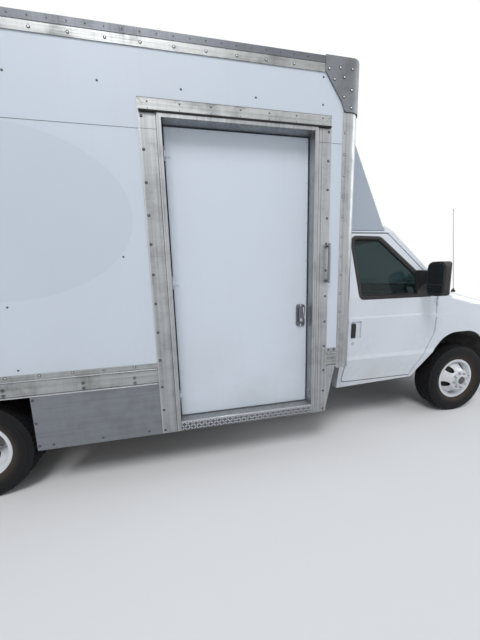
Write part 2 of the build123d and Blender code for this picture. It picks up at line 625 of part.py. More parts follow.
def rim(y, out):
    """Rim whose mounting face lies outwards (out = 1) or inwards (out = -1) of its middle plane."""
    w, f, t, m = RIM_W / 2, FLANGE_T, RIM_T, WHEEL_OUTSET
    inside = [(w + f, BEAD_R - t), (w - 36, WELL_R - t)]
    outside = [(w - 36, WELL_R), (w, BEAD_R), (w, RIM_R), (w + f, RIM_R)]
    far_inside, far_outside = [(-a, b) for a, b in inside], [(-a, b) for a, b in outside]
    barrel = ring(far_inside + inside[::-1] + outside[::-1] + far_outside, y)
    disc = [(m, HUB_R - 1), (m, MOUNT_R, 8), (m - 26, 128, 20), (34, WELL_R - t + 0.5),
            (34 - DISC_T, WELL_R - t + 0.5),
            (m - 26 - DISC_T, 122, 20), (m - DISC_T, MOUNT_R - 6), (m - DISC_T, HUB_R - 1)]
    disc = ring(disc if out > 0 else [(-a, *rest) for a, *rest in reversed(disc)], y)
    for i in range(HAND_HOLES):
        turn = Rot(0, -(HAND_FIRST + 360 / HAND_HOLES * i), 0) * Pos(HAND_CIRCLE_R, 0, 0) * Rot(90, 0, 0)
        disc = disc - Pos(0, y - out * (m - 50), TYRE_R) * turn * Cylinder(HAND_HOLE_R, 120)
    return barrel + disc


def make_wheels():
    """Tyres and rims of the four wheel bodies; the rear ones are twins with their drums."""
    front_y, hub_y = -FRONT_TRACK / 2, -DUAL_TRACK / 2
    inner_y, outer_y = hub_y + WHEEL_OUTSET, hub_y - WHEEL_OUTSET
    face = front_y - WHEEL_OUTSET
    front, rear = Pos(AXLE_X, 0, 0), Pos(AXLE_X + REAR_AXLE, 0, 0)
    bore = SPINDLE_R + SHAFT_CLEAR
    front_rim = rim(front_y, 1) + turned(face - HUB_REACH, face + 100,
                                         HUB_R) + turned(face + 10, face + 22, MOUNT_R)
    front_rim = front_rim - turned(face - 20, face + 120, bore)
    drum = turned(hub_y + 10, hub_y + 10 + DRUM_W, DRUM_R) - turned(hub_y + 22, hub_y + 11 + DRUM_W,
                                                                    DRUM_R - 12)
    rear_rims = rim(inner_y, 1) + rim(outer_y, -1) + turned(hub_y - 70, hub_y + 70, HUB_R) + drum
    rear_rims = rear_rims - turned(hub_y - 40, hub_y + 120, bore)
    add_pair("front_tyre", front * tyre(front_y))
    add_pair("front_rim", front * front_rim)
    add_pair("rear_tyres", rear * Compound(children=[*tyre(inner_y).solids(), *tyre(outer_y).solids()]))
    add_pair("rear_rims", rear * rear_rims)


def make_front_axle():
    """Knuckles with their spindles, and the crossed beams, radius arms and dampers that carry them."""
    face = -FRONT_TRACK / 2 - WHEEL_OUTSET
    pin = -KINGPIN_Y
    low, high = TYRE_R - FORK_H, TYRE_R + FORK_H
    fork = block(-24, 24, pin - 60, pin - 28, low, high)
    for z in (low, high - 44):
        fork = fork + upright(0, pin, z, z + 44, 30) + block(-24, 24, pin - 60, pin, z, z + 44)
    arm = block(-150, 0, pin - 24, pin + 6, low, low + 20)
    spindle = Pos(AXLE_X, 0, 0) * (turned(face - 10, pin, SPINDLE_R) + turned(face + 104, pin - 22, 45))
    knuckle = spindle + fork + arm - upright(0, pin, TYRE_R - 64, TYRE_R + 64, 40)
    add_pair("knuckle", knuckle - upright(0, pin, 0, 900, KINGPIN_R + SHAFT_CLEAR))

    beams = []
    for cross, turn in ((BEAM_PIVOT_X, lambda solid: solid), (-BEAM_PIVOT_X, other_side)):
        half = BEAM_W / 2
        plan = [(-half, pin), (half, pin), (half + cross, BEAM_PIVOT_Y), (-half + cross, BEAM_PIVOT_Y)]
        beam = plan_prism(plan, TYRE_R - BEAM_H / 2, TYRE_R + BEAM_H / 2)
        beam = beam + upright(0, pin, TYRE_R - 58, TYRE_R + 58,
                              32) + upright(0, pin, low + 2, high - 2, KINGPIN_R)
        beam = beam + block(cross - 25, cross + 25, BEAM_PIVOT_Y - 50, BEAM_PIVOT_Y, TYRE_R,
                            RAIL_BOTTOM + RAIL_T - SEAT)
        damper = upright(0, -DAMPER_Y, TYRE_R, TOWER_Z, DAMPER_R)
        damper = damper + upright(0, -DAMPER_Y, TOWER_Z - 220, TOWER_Z, DAMPER_COVER_R)
        tower = block(-34, 34, -DAMPER_Y - 40, -RAIL_OUT - SEAT, TOWER_Z - 40, TOWER_Z)
        tower = tower + block(-34, 34, -RAIL_OUT - 12, -RAIL_OUT - SEAT, 560, TOWER_Z)
        rod = plan_prism([(0, -540), (0, -500), (-RADIUS_ARM, -420), (-RADIUS_ARM, -460)], TYRE_R - 30,
                         TYRE_R + 30)
        rod = rod + block(-RADIUS_ARM - 15, -RADIUS_ARM + 20, -460, -400, TYRE_R - 30, RAIL_BOTTOM - SEAT)
        beams += turn(beam + damper + tower + rod).solids()
    add("front_beams", Compound(children=beams))


def leaf(index, y0, y1):
    """One leaf: an arched strip, each next one below the last and shorter."""
    centre_z = TYRE_R + AXLE_TUBE_R + 6 + LEAF_T * len(LEAF_HALVES) + LEAF_RADIUS
    half, radius = LEAF_HALVES[index], LEAF_RADIUS + LEAF_T * index
    corners = []
    for r in (radius, radius + LEAF_T):
        rise = centre_z - math.sqrt(r * r - half * half)
        corners.append([(REAR_AXLE - half, rise), (REAR_AXLE, centre_z - r), (REAR_AXLE + half, rise)])
    upper, lower = corners
    edges = [ThreePointArc(*upper), Line(upper[2], lower[2]), ThreePointArc(*lower[::-1]),
             Line(lower[0], upper[0])]
    plane = Plane(origin=(AXLE_X, y1, 0), x_dir=(1, 0, 0), z_dir=(0, -1, 0))
    return extrude(plane * make_face(edges), amount=y1 - y0)


def make_rear_axle():
    """Rear axle housing, propeller shaft and leaf springs."""
    hub_y = -DUAL_TRACK / 2
    place = Pos(AXLE_X + REAR_AXLE, 0, 0)
    tube_y = hub_y + 75
    housing = place * (turned(tube_y, -tube_y, AXLE_TUBE_R) + turned(hub_y - 30, -hub_y + 30, SPINDLE_R))
    housing = housing + Pos(AXLE_X + REAR_AXLE, 0, TYRE_R) * Sphere(DIFFERENTIAL_R)
    nose = REAR_AXLE + DIFFERENTIAL_R + 60
    housing = housing + lengthwise(0, TYRE_R + 40, REAR_AXLE, nose, SHAFT_R + 12)
    shaft = lengthwise(0, TYRE_R + 40, nose + SEAT, -600, SHAFT_R)
    carrier = -0.56 * WHEELBASE
    shaft = shaft + block(carrier - 15, carrier + 15, -60, 60, TYRE_R + 30, RAIL_BOTTOM + RAIL_T - SEAT)
    add("rear_axle", Compound(children=[*housing.solids(), *shaft.solids()]))
    y0, y1 = -RAIL_OUT - 15 - LEAF_W, -RAIL_OUT - 15
    pack = block(REAR_AXLE - 55, REAR_AXLE + 55, y0, y1, TYRE_R, TYRE_R + AXLE_TUBE_R + 8)
    for index in range(len(LEAF_HALVES)):
        pack = pack + leaf(index, y0, y1)
    for x in (REAR_AXLE - LEAF_HALVES[0], REAR_AXLE + LEAF_HALVES[0]):
        pack = pack + block(x - 30, x + 30, y0, -RAIL_OUT - SEAT, RAIL_BOTTOM - 30, RAIL_TOP - 60)
    add("leaf_springs", both_sides(pack - place * turned(tube_y, -tube_y, AXLE_TUBE_R + SEAT)))


def body_plan(grow):
    """X-Y outline of the load body with its two rounded front corners, grown outwards."""
    w, front = BODY_HALF + grow, BODY_FRONT + grow
    return [(BODY_REAR, -w), (front, -w, POST_R + grow), (front, w, POST_R + grow), (BODY_REAR, w)]


def make_floor():
    """Load floor on its sills and crossmembers, cut out for the side doorway's steps."""
    w, t = BODY_HALF, BODY_WALL
    start, end = BODY_REAR + REAR_POST_D, BODY_FRONT - t
    under = LOAD_FLOOR_Z - BOARD_T
    floor = block(start, end, -w + t, w - t, under, LOAD_FLOOR_Z)
    sill = block(start, end, -RAIL_OUT, -RAIL_OUT + RAIL_W, RAIL_TOP, under)
    floor = floor + sill + other_side(sill)
    pitch = (end - start - 120) / (SILL_COUNT - 1)
    for i in range(SILL_COUNT):
        x = start + 60 + pitch * i
        floor = floor + block(x - 25, x + 25, -w + t, w - t, under - SILL_H, under)
    well = block(DOORWAY_REAR - JAMB_T - 6, DOORWAY_FRONT + JAMB_T + 6, -w, -WELL_INNER_Y, 0,
                 LOAD_FLOOR_Z + 100)
    add("box_floor", (floor & plan_prism(body_plan(-t), 0, BODY_TOP)) - well)


def make_walls():
    """Side, front and roof panels, the roof on its bows."""
    w, t = BODY_HALF, BODY_WALL
    start = BODY_REAR + REAR_POST_D
    left = block(start, BODY_FRONT - POST_R, w - t, w, RAIL_LIP, ROOF_UNDER)
    hole = block(DOORWAY_REAR - JAMB_T, DOORWAY_FRONT + JAMB_T, -w - 1, 0, 0, DOORWAY_TOP + JAMB_T)
    add("box_side_left", left)
    add("box_side_right", other_side(left) - hole)
    add("box_front_wall", block(BODY_FRONT - t, BODY_FRONT, -w + POST_R, w - POST_R, RAIL_LOW, ROOF_UNDER))
    roof = plan_prism(body_plan(0), ROOF_UNDER, BODY_TOP - ROOF_LIP)
    pitch = (BODY_FRONT - t - start) / (ROOF_BOWS + 1)
    for i in range(ROOF_BOWS):
        x = start + pitch * (i + 1)
        roof = roof + block(x - 20, x + 20, -w + t + SEAT, w - t - SEAT, ROOF_UNDER - BOW_H, ROOF_UNDER)
    add("box_roof", roof)


def make_edges():
    """Corner posts, corner caps, top and bottom rails."""
    w, t, front = BODY_HALF, BODY_WALL, BODY_FRONT
    leaf_rear = front - POST_LEAF
    shell = plan_prism(body_plan(0), POST_BOTTOM, ROOF_UNDER) - plan_prism(body_plan(-t), 0, BODY_TOP)
    post = shell & block(front - POST_R, front, -w, -w + POST_R, 0, BODY_TOP)
    flanges = plan_prism(body_plan(POST_LEAF_T), POST_BOTTOM,
                         ROOF_UNDER) - plan_prism(body_plan(0), 0, BODY_TOP)
    post = post + (flanges & block(leaf_rear, front + 10, -w - 10, -w + POST_LEAF, 0, BODY_TOP))
    add("corner_posts", both_sides(post))

    inner_cap = TOP_RAIL_T + SEAT
    cap = plan_prism(body_plan(TOP_RAIL_T + CAP_T), BODY_TOP - 377, BODY_TOP + 8)
    cap = cap - plan_prism(body_plan(inner_cap), 0, BODY_TOP + SEAT)
    cap = cap & side_prism([(front + a, BODY_TOP + b, *r) for a, b, *r in CAP_SIDE], -w - 20, -w + 200)
    cap = cap & plan_prism([(front - 390, -w - 20), (front + 20, -w - 20), (front + 20, -w + 190),
                            (front - 60, -w + 190),
                            (front - 390, -w + 60)], 0, BODY_TOP + 200)
    add("corner_caps", both_sides(cap))

    top = plan_prism(body_plan(TOP_RAIL_T), BODY_TOP - TOP_RAIL_H, BODY_TOP)
    top = top - plan_prism(body_plan(SEAT), 0, BODY_TOP - ROOF_LIP)
    top = top - plan_prism(body_plan(-40), 0, BODY_TOP + 10)
    top = top - block(BODY_REAR - 20, BODY_REAR + REAR_POST_D, -w - 20, w + 20, 0, BODY_TOP + 100)
    room = plan_prism(body_plan(POST_LEAF_T + SEAT), 0, ROOF_UNDER)
    add("top_rails", top - (room & block(leaf_rear - SEAT, front + 10, -w - 10, w + 10, 0, BODY_TOP)))

    lip, low, high = w + RAIL_REACH, RAIL_LOW, RAIL_LIP
    profile = [(w, low), (lip, low), (lip, low + 8), (w + 4, low + 8), (w + 4, high - 6), (lip, high - 6),
               (lip, high),
               (w + 4, high), (w + 4, high + 40), (w + SEAT,
                                                   high + 40), (w + SEAT, high), (w - t, high), (w - t, low)]
    rail = section_prism(profile, BODY_REAR + REAR_POST_D, leaf_rear - SEAT)
    right = other_side(rail) - block(FRAME_REAR - SEAT, FRAME_FRONT + SEAT, -w - 40, 0, 0, high + 200)
    right = right - block(DOORWAY_REAR - JAMB_T, leaf_rear + 10, -w, 0, 0, high + 200)
    add("bottom_rails", Compound(children=[*rail.solids(), *right.solids()]))


def make_side_doorway():
    """Aluminium frame around the recessed side door, the door, its handle, grab handle, steps and skirt."""
    w, rear, front = BODY_HALF, DOORWAY_REAR, DOORWAY_FRONT
    notch = RAIL_LOW - 2
    outer = [(FRAME_REAR, FRAME_BOTTOM), (FRAME_FRONT, FRAME_BOTTOM), (FRAME_FRONT + GUSSET_W, notch),
             (FRAME_FRONT, notch),
             (FRAME_FRONT, FRAME_TOP), (FRAME_REAR, FRAME_TOP)]
    plate = side_prism(outer, -w - FRAME_LEAF, -w - SEAT)
    jamb = block(rear - JAMB_T + SEAT, front + JAMB_T - SEAT, -w - FRAME_LEAF, -w + JAMB_DEPTH, FRAME_BOTTOM,
                 DOORWAY_TOP + JAMB_T - SEAT)
    bead = block(rear - BEAD_W, front + BEAD_W, -w - FRAME_LEAF - BEAD_T, -w - FRAME_LEAF, FRAME_SILL_Z,
                 DOORWAY_TOP + BEAD_W)
    frame = (plate + jamb + bead) - block(rear, front, -w - 50, 0, FRAME_SILL_Z, DOORWAY_TOP)

    gap, face = SIDE_DOOR_GAP, -w + SIDE_DOOR_IN
    door = block(rear + gap, front - gap, face, face + SIDE_DOOR_T, FRAME_SILL_Z + gap, DOORWAY_TOP - gap)
    door = fillet(door.edges().filter_by(Axis.Y), SIDE_DOOR_CORNER)
    hx, hy = rear + SIDE_HINGE_IN, face - SIDE_HINGE_OUT
    for share in SIDE_HINGES:
        z = FRAME_SILL_Z + (DOORWAY_TOP - FRAME_SILL_Z) * share
        barrel = upright(hx, hy, z - 19, z + 19, SIDE_BARREL_R) + block(hx, hx + 40, hy, face, z - 19, z + 19)
        door = door + barrel - upright(hx, hy, z - 60, z + 60, SIDE_PIN_R + SHAFT_CLEAR)
        for low in (z - 50, z + 20):
            frame = frame + upright(hx, hy, low, low + 30, SIDE_BARREL_R)
            frame = frame + block(rear - 1, hx, hy - SIDE_BARREL_R, hy, low, low + 30)
        frame = frame + upright(hx, hy, z - 50, z + 50, SIDE_PIN_R)
    add("side_door", door)
    add("side_door_frame", frame)

    x1 = front - PADDLE["ahead"]
    x0 = x1 - PADDLE["width"]
    dish = block(x0, x1, face - 12, face - SEAT, PADDLE["low"], PADDLE["high"])
    dish = fillet(dish.edges().filter_by(Axis.Y), 20) - block(x0 + 12, x1 - 12, face - 20, face - 6,
                                                              PADDLE["low"] + 20,
                                                              PADDLE["high"] - 20)
    paddle = side_prism([(x0 + 16, PADDLE["low"] + 30, 8), (x1 - 16, PADDLE["low"] + 30, 8),
                         (x1 - 16, PADDLE["high"] - 22, 8), (x0 + 16, PADDLE["high"] - 22,
                                                             8)], face - 22, face - 5)
    add("side_door_handle", dish + paddle)

    bar_y = -w - GRAB["out"]
    bar = upright(GRAB["x"], bar_y, GRAB["low"], GRAB["high"], GRAB["r"])
    for z in (GRAB["low"] + 20, GRAB["high"] - 20):
        bar = bar + crosswise(GRAB["x"], z, bar_y, -w - FRAME_LEAF, GRAB["r"] - 2)
        bar = bar + crosswise(GRAB["x"], z, -w - FRAME_LEAF - 4, -w - FRAME_LEAF, 18)
    add("grab_handle", bar)

    x0, x1, t = rear - JAMB_T, front + JAMB_T, WELL_T
    y0, y1 = -w + JAMB_DEPTH, -WELL_INNER_Y
    middle, low, high = (y0 + y1) / 2, FRAME_SILL_Z, LOAD_FLOOR_Z
    half = (low + high) / 2
    steps = block(x0, x1, y0, middle, low - t, low) + block(x0, x1, middle - t, middle, low - t, half)
    steps = steps + block(x0, x1, middle - t, y1, half - t, half) + block(x0, x1, y1 - t, y1, half - t, high)
    for x in (x0 - t, x1):
        steps = steps + block(x, x + t, y0, y1, low - t, high)
    add("step_well", steps)

    skirt = block(SKIRT_REAR, FRAME_REAR - SEAT, -w - SKIRT_T, -w, SKIRT_LOW, RAIL_LOW - SEAT)
    add("skirt_panels", skirt + block(SKIRT_REAR, FRAME_REAR - SEAT, -w, -w + 30, RAIL_LOW - 27,
                                      RAIL_LOW - SEAT))


def make_rear():
    """Rear frame with hinge brackets, the two doors with straps and lock rods, the step and all lamps."""
    w, back, depth = BODY_HALF, BODY_REAR, REAR_POST_D
    frame = block(back, back + depth, -w, w, RAIL_LOW, ROOF_UNDER)
    frame = frame - block(back - 1, back + depth + 1, -w + REAR_POST_W, w - REAR_POST_W, REAR_SILL_Z,
                          REAR_HEAD_Z)
    frame = frame - block(back - 1, back + depth + 1, -RAIL_OUT, RAIL_OUT, 0, RAIL_LOW)
    hx, hy = back - HINGE_BACK, w + HINGE_OUT
    opening = REAR_HEAD_Z - REAR_SILL_Z
    edge = w - REAR_POST_W - REAR_DOOR_GAP
    hardware = []
    for share in REAR_HINGES:
        z = REAR_SILL_Z + opening * share
        low, high = z + STRAP_HALF + 1, z + STRAP_HALF + 40
        bracket = block(hx - 8, back + 40, w + SEAT, w + 10, low,
                        high) + block(hx - 8, hx + 8, w + SEAT, hy, low, high)
        bracket = bracket + upright(hx, hy, low, high, REAR_BARREL_R - 1)
        bracket = bracket + block(back, back + 40, w - 1, w + 5, low, high)
        bracket = bracket + upright(hx, hy, z - STRAP_HALF + 2, low + 9, REAR_PIN_R)
        frame = frame + bracket + other_side(bracket)
        low, high = z - STRAP_HALF, z + STRAP_HALF
        strap = block(back - 15, back - SEAT, edge - STRAP_REACH + REAR_DOOR_GAP, edge, low, high)
        strap = strap + block(back - 20, back - 10, edge - 34, hy, low,
                              high) + upright(hx, hy, low, high, REAR_BARREL_R)
        strap = strap + block(hx, back - 10, hy - 10, hy + 8, low, high)
        hardware += (strap - upright(hx, hy, low - 10, high + 10, REAR_PIN_R + SHAFT_CLEAR)).solids()
    for y in ROD_YS:
        rod = upright(back - 22, y, REAR_SILL_Z + 10, REAR_HEAD_Z - 10, ROD_R)
        for share in ROD_GUIDES:
            z = REAR_SILL_Z + opening * share
            rod = rod + block(back - 38, back - SEAT, y - 35, y + 35, z - 20, z + 20)
        hardware += (rod + block(back - 34, back - 24, y - 8, y + 300, REAR_SILL_Z + 335,
                                 REAR_SILL_Z + 370)).solids()
    add("rear_frame", frame)
    door = block(back, back + REAR_DOOR_T, REAR_DOOR_GAP / 2, edge, REAR_SILL_Z + REAR_DOOR_GAP,
                 REAR_HEAD_Z - REAR_DOOR_GAP)
    for name, left in (("rear_door", door), ("rear_hardware", Compound(children=hardware))):
        add(name + "_left", left)
        add(name + "_right", other_side(left))

    step_back = REAR_AXLE - REAR_OVERHANG
    step = block(step_back, back - 30, -w + 150, w - 150, STEP_TOP - 40, STEP_TOP)
    step = step - block(step_back + 40, back - 60, -w + 200, w - 200, STEP_TOP - 41, STEP_TOP - 20)
    for y in (-RAIL_OUT + 24, RAIL_OUT - RAIL_W):
        step = step + block(back - 40, back + 10, y, y + 40, RAIL_BOTTOM, STEP_TOP)
    plate = block(step_back, step_back + 5, -170, 170, 440, STEP_TOP - 39)
    for y in (-PLATE_PITCH / 2, PLATE_PITCH / 2):
        plate = plate - lengthwise(y, 520, step_back - 10, step_back + 20, PLATE_HOLE_R)
    add("rear_bumper", step + plate)

    lamps = []
    for y in (-w + 100, -w + 220, w - 100, w - 220):
        lamps += lengthwise(y, TAIL_Z, back - 22, back - SEAT, TAIL_R).solids()
    for y in (-980, -150, 0, 150, 980):
        z = BODY_TOP - 107
        lamps += block(back - 18, back - SEAT, y - 30, y + 30, z, z + 30).solids()
        face = BODY_FRONT + TOP_RAIL_T + SEAT
        lamps += block(face, face + 18, y - 30, y + 30, z + 30, z + 60).solids()
    add("body_lamps", Compound(children=lamps))


def make_fairing():
    """Hollow wind fairing from the front wall down to the cab roof, with a lip around its foot."""
    back, foot = BODY_FRONT + 0.5, FAIRING_LOW

    def form(depth, low=foot):
        side = inset([(back, foot), *FAIRING_SIDE, (back, FAIRING_TOP)], depth)
        side = [(back, low), (side[1][0], low), *side[2:-1], (back, side[-1][1])]
        section = inset(mirrored(FAIRING_SECTION), depth)
        section = [(section[0][0], low), *section[1:-1], (section[-1][0], low)]
        return side_prism(side, -1000, 1000) & section_prism(section, BODY_FRONT, -700)

    lip = form(-4) & block(BODY_FRONT, 0, -1100, 1100, foot, foot + FAIRING_LIP)
    return (form(0) + lip) - form(FAIRING_T, foot - 10) - CAB_OUT


NOSE_OUT, CAB_OUT = body_form(0)
NOSE_IN, _ = body_form(PANEL_T, 0)
SKIN_IN = section_prism(section_points(PANEL_T, 0), CAB_BACK - 50, NOSE_X + 50)
add("cab_shell", make_nose(make_cab()))
make_cab_doors()
make_cabin()
make_chassis()
make_wheels()
make_front_axle()
make_rear_axle()
make_floor()
make_walls()
make_edges()
make_side_doorway()
make_rear()
add("cab_fairing", make_fairing())

os.makedirs("parts", exist_ok=True)
for name, solid in NODES.items():
    export_step(solid, "parts/" + name + ".step")
    print(name, len(solid.solids()), round(solid.volume / 1e6, 2))
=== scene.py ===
"""Looks of the cutaway box truck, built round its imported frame.

Lengths are metres in the row frame: +X to the truck's front, +Y to its left, +Z up, ground at 0.
Stations written with Layout.at() are counted from the front axle, as in the part's source.
"""
import logging
import math
from dataclasses import dataclass
from enum import Enum
from typing import Callable, Optional, Sequence, Union

import bpy
import numpy as np
from mathutils import Matrix, Vector
from mathutils.geometry import tessellate_polygon


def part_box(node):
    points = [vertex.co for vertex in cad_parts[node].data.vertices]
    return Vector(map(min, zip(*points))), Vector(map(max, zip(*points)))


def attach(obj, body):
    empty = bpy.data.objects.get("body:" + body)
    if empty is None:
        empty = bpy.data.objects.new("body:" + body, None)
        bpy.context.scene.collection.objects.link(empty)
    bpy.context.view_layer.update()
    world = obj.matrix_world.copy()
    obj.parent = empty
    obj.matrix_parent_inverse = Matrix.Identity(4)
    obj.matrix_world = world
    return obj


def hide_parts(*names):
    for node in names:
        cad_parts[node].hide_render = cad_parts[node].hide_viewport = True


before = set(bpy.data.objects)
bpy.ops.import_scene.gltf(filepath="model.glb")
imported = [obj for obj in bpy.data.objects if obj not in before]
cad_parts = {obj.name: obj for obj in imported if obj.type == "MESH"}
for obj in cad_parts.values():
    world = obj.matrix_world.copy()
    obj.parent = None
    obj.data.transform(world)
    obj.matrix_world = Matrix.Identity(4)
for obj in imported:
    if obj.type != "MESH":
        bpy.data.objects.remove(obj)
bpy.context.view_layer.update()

log = logging.getLogger("truck")
Array = np.ndarray
WHITE = (1.0, 1.0, 1.0)
ON_AXIS = 1e-9  # radius under which a point of a profile lies on the axis
WIDEST_CHAMFER = 0.45  # share of a block's half size
SHARP = 35.0  # degrees over which an edge stays sharp
Floats = Sequence[float]
Rows = Sequence[Floats]
Socket = bpy.types.NodeSocket
Material = bpy.types.Material
Placer = Callable[[Array, float], Array]  # puts outline points (N, 2) on a surface, lifted off it


class Form:
    """A mesh in the making: points with quads and triangles, all held as arrays."""

    def __init__(self, points: Array, quads: Optional[Array] = None, tris: Optional[Array] = None) -> None:
        """Hold the arrays.

        Args:
            points: (N, 3).
            quads: numbers of points (M, 4).
            tris: numbers of points (K, 3).
        """
        self.points = np.asarray(points, float).reshape(-1, 3)
        self.quads = np.zeros((0, 4), int) if quads is None else np.asarray(quads, int).reshape(-1, 4)
        self.tris = np.zeros((0, 3), int) if tris is None else np.asarray(tris, int).reshape(-1, 3)

    def __add__(self, other: "Form") -> "Form":
        """Join two forms.

        Args:
            other: the form whose points come after this one's.

        Returns:
            One form.
        """
        n = len(self.points)
        return Form(np.vstack([self.points, other.points]), np.vstack([self.quads, other.quads + n]),
                    np.vstack([self.tris, other.tris + n]))

    def moved(self, x: float = 0.0, y: float = 0.0, z: float = 0.0) -> "Form":
        """Shift the form."""
        return Form(self.points + np.array([x, y, z]), self.quads, self.tris)

    def turned(self, axis: str, degrees: float) -> "Form":
        """Turn the form about the X, Y or Z axis through the origin."""
        matrix = np.array(Matrix.Rotation(math.radians(degrees), 3, axis))
        return Form(self.points @ matrix.T, self.quads, self.tris)

    def other_side(self) -> "Form":
        """Mirror across the truck's middle plane and keep the faces pointing outwards."""
        return Form(self.points * np.array([1, -1, 1]), self.quads[:, ::-1], self.tris[:, ::-1])

    def inside_out(self) -> "Form":
        """Turn the quads of a strip round, where its outline runs clockwise on the surface that it follows."""
        return Form(self.points, self.quads[:, ::-1])

    def repeated(self, places: Rows) -> "Form":
        """Stamp the form at each place.

        Args:
            places: points (N, 3) at which the form's origin is put.

        Returns:
            One form with every copy: point i of copy k is point i plus place k.
        """
        spots = np.asarray(places, float).reshape(-1, 3)
        n, count = len(self.points), len(spots)
        points = (spots[:, None, :] + self.points[None, :, :]).reshape(-1, 3)
        step = (np.arange(count) * n)[:, None, None]
        return Form(points, (self.quads[None] + step).reshape(-1, 4), (self.tris[None] + step).reshape(-1, 3))


def joined(forms: Sequence[Form]) -> Form:
    """One form of several."""
    return sum(forms[1:], forms[0])


def surface(grid: Array, closed_u: bool = False, closed_v: bool = False) -> Form:
    """Quads between the neighbours of a grid.

    Args:
        grid: points (U, V, 3).
        closed_u: join the last row to the first.
        closed_v: join the last column to the first.

    Returns:
        The surface.
    """
    u, v = grid.shape[:2]
    i, j = np.meshgrid(np.arange(u if closed_u else u - 1), np.arange(v if closed_v else v - 1), indexing="ij")
    a, b = (i + 1) % u, (j + 1) % v
    quads = np.stack([i * v + j, a * v + j, a * v + b, i * v + b], -1).reshape(-1, 4)
    return Form(grid.reshape(-1, 3), quads)


def lathe(profile: Rows, segments: int = 16, closed: bool = False) -> Form:
    """Turn a profile about +Z.

    Each point of the profile sweeps a circle: (r cos a, r sin a, h) for angles a all round. An end at radius 0 is
    closed by triangles.

    Args:
        profile: rows of radius and height.
        segments: angles all round.
        closed: join the last row to the first, which makes a ring.

    Returns:
        The turned form.
    """
    rows = np.asarray(profile, float)
    a = np.linspace(0, 2 * np.pi, segments, endpoint=False)
    ring = rows[np.abs(rows[:, 0]) > ON_AXIS]
    grid = np.stack([np.outer(np.cos(a), ring[:, 0]), np.outer(np.sin(a), ring[:, 0]),
                     np.tile(ring[:, 1], (segments, 1))], -1)
    form = surface(grid, closed_u=True, closed_v=closed)
    here, last = np.arange(segments) * len(ring), len(ring) - 1
    after = np.roll(here, -1)
    points, tris = form.points, []
    for (radius, height), first, second in ((rows[0], after, here), (rows[-1], here + last, after + last)):
        if radius < ON_AXIS:
            tris.append(np.stack([np.full(segments, len(points)), first, second], -1))
            points = np.vstack([points, [0, 0, height]])
    return Form(points, form.quads, np.vstack(tris) if tris else None)


def prism(outline: Rows, start: float, end: float) -> Form:
    """Closed prism along +Z.

    Args:
        outline: anticlockwise points in X and Y.
        start: height of the lower cap.
        end: height of the upper cap.

    Returns:
        Sides of quads, and caps of triangles that face outwards by the sign of their area.
    """
    loop = np.asarray(outline, float)
    n = len(loop)
    low = np.column_stack([loop, np.full(n, start)])
    high = np.column_stack([loop, np.full(n, end)])
    side = surface(np.stack([low, high], 1), closed_u=True)
    flat = np.array(tessellate_polygon([[Vector((*p, 0.0)) for p in loop]]), int).reshape(-1, 3)
    a, b, c = loop[flat[:, 0]], loop[flat[:, 1]], loop[flat[:, 2]]
    area = (b[:, 0] - a[:, 0]) * (c[:, 1] - a[:, 1]) - (b[:, 1] - a[:, 1]) * (c[:, 0] - a[:, 0])
    up = np.where(area[:, None] > 0, flat, flat[:, ::-1])
    return Form(side.points, side.quads, np.vstack([up * 2 + 1, up[:, ::-1] * 2]))


def rod_x(outline: Rows, x0: float, x1: float) -> Form:
    """Prism along X of an anticlockwise outline in Y and Z."""
    form = prism(outline, x0, x1)
    return Form(form.points[:, [2, 0, 1]], form.quads, form.tris)


def rod_y(outline: Rows, y0: float, y1: float) -> Form:
    """Prism along Y of an outline in X and Z, anticlockwise as seen from the truck's right."""
    form = prism(outline, -y1, -y0)
    return Form(form.points[:, [0, 2, 1]] * np.array([1, -1, 1]), form.quads, form.tris)


def block(low: Floats, high: Floats, edge: float = 0.001) -> Form:
    """Box with every edge chamfered.

    Each of the 8 corners holds three points, each pulled in by the edge along the two axes that aren't its own.

    Args:
        low: lowest corner.
        high: highest corner.
        edge: width of the chamfer.

    Returns:
        Sides and chamfers of quads, and corners of triangles.
    """
    low, high = np.asarray(low, float), np.asarray(high, float)
    half, centre = (high - low) / 2, (high + low) / 2
    e = min(edge, half.min() * WIDEST_CHAMFER)
    signs = np.array([[i, j, k] for i in (-1, 1) for j in (-1, 1) for k in (-1, 1)], float)
    pulled = np.stack([signs * (half - e * (1 - np.eye(3)[a])) for a in range(3)], 1)

    def number(ends: dict[int, int], own: int) -> int:
        """Number of a corner's point, from the end, 0 or 1, on each axis and the point's own axis."""
        return ((ends[0] * 2 + ends[1]) * 2 + ends[2]) * 3 + own

    faces = []
    for a in range(3):
        b, c = (a + 1) % 3, (a + 2) % 3
        for s in (0, 1):
            loop = [number({a: s, b: p, c: q}, a) for p, q in ((0, 0), (1, 0), (1, 1), (0, 1))]
            faces.append(loop if s else loop[::-1])
        for p, q in ((0, 0), (0, 1), (1, 0), (1, 1)):
            first, last = {a: 0, b: p, c: q}, {a: 1, b: p, c: q}
            loop = [number(first, b), number(last, b), number(last, c), number(first, c)]
            faces.append(loop if p != q else loop[::-1])
    tris = [[n * 3, n * 3 + 1, n * 3 + 2][::1 if sign.prod() > 0 else -1] for n, sign in enumerate(signs)]
    return Form(pulled.reshape(-1, 3) + centre, faces, tris)


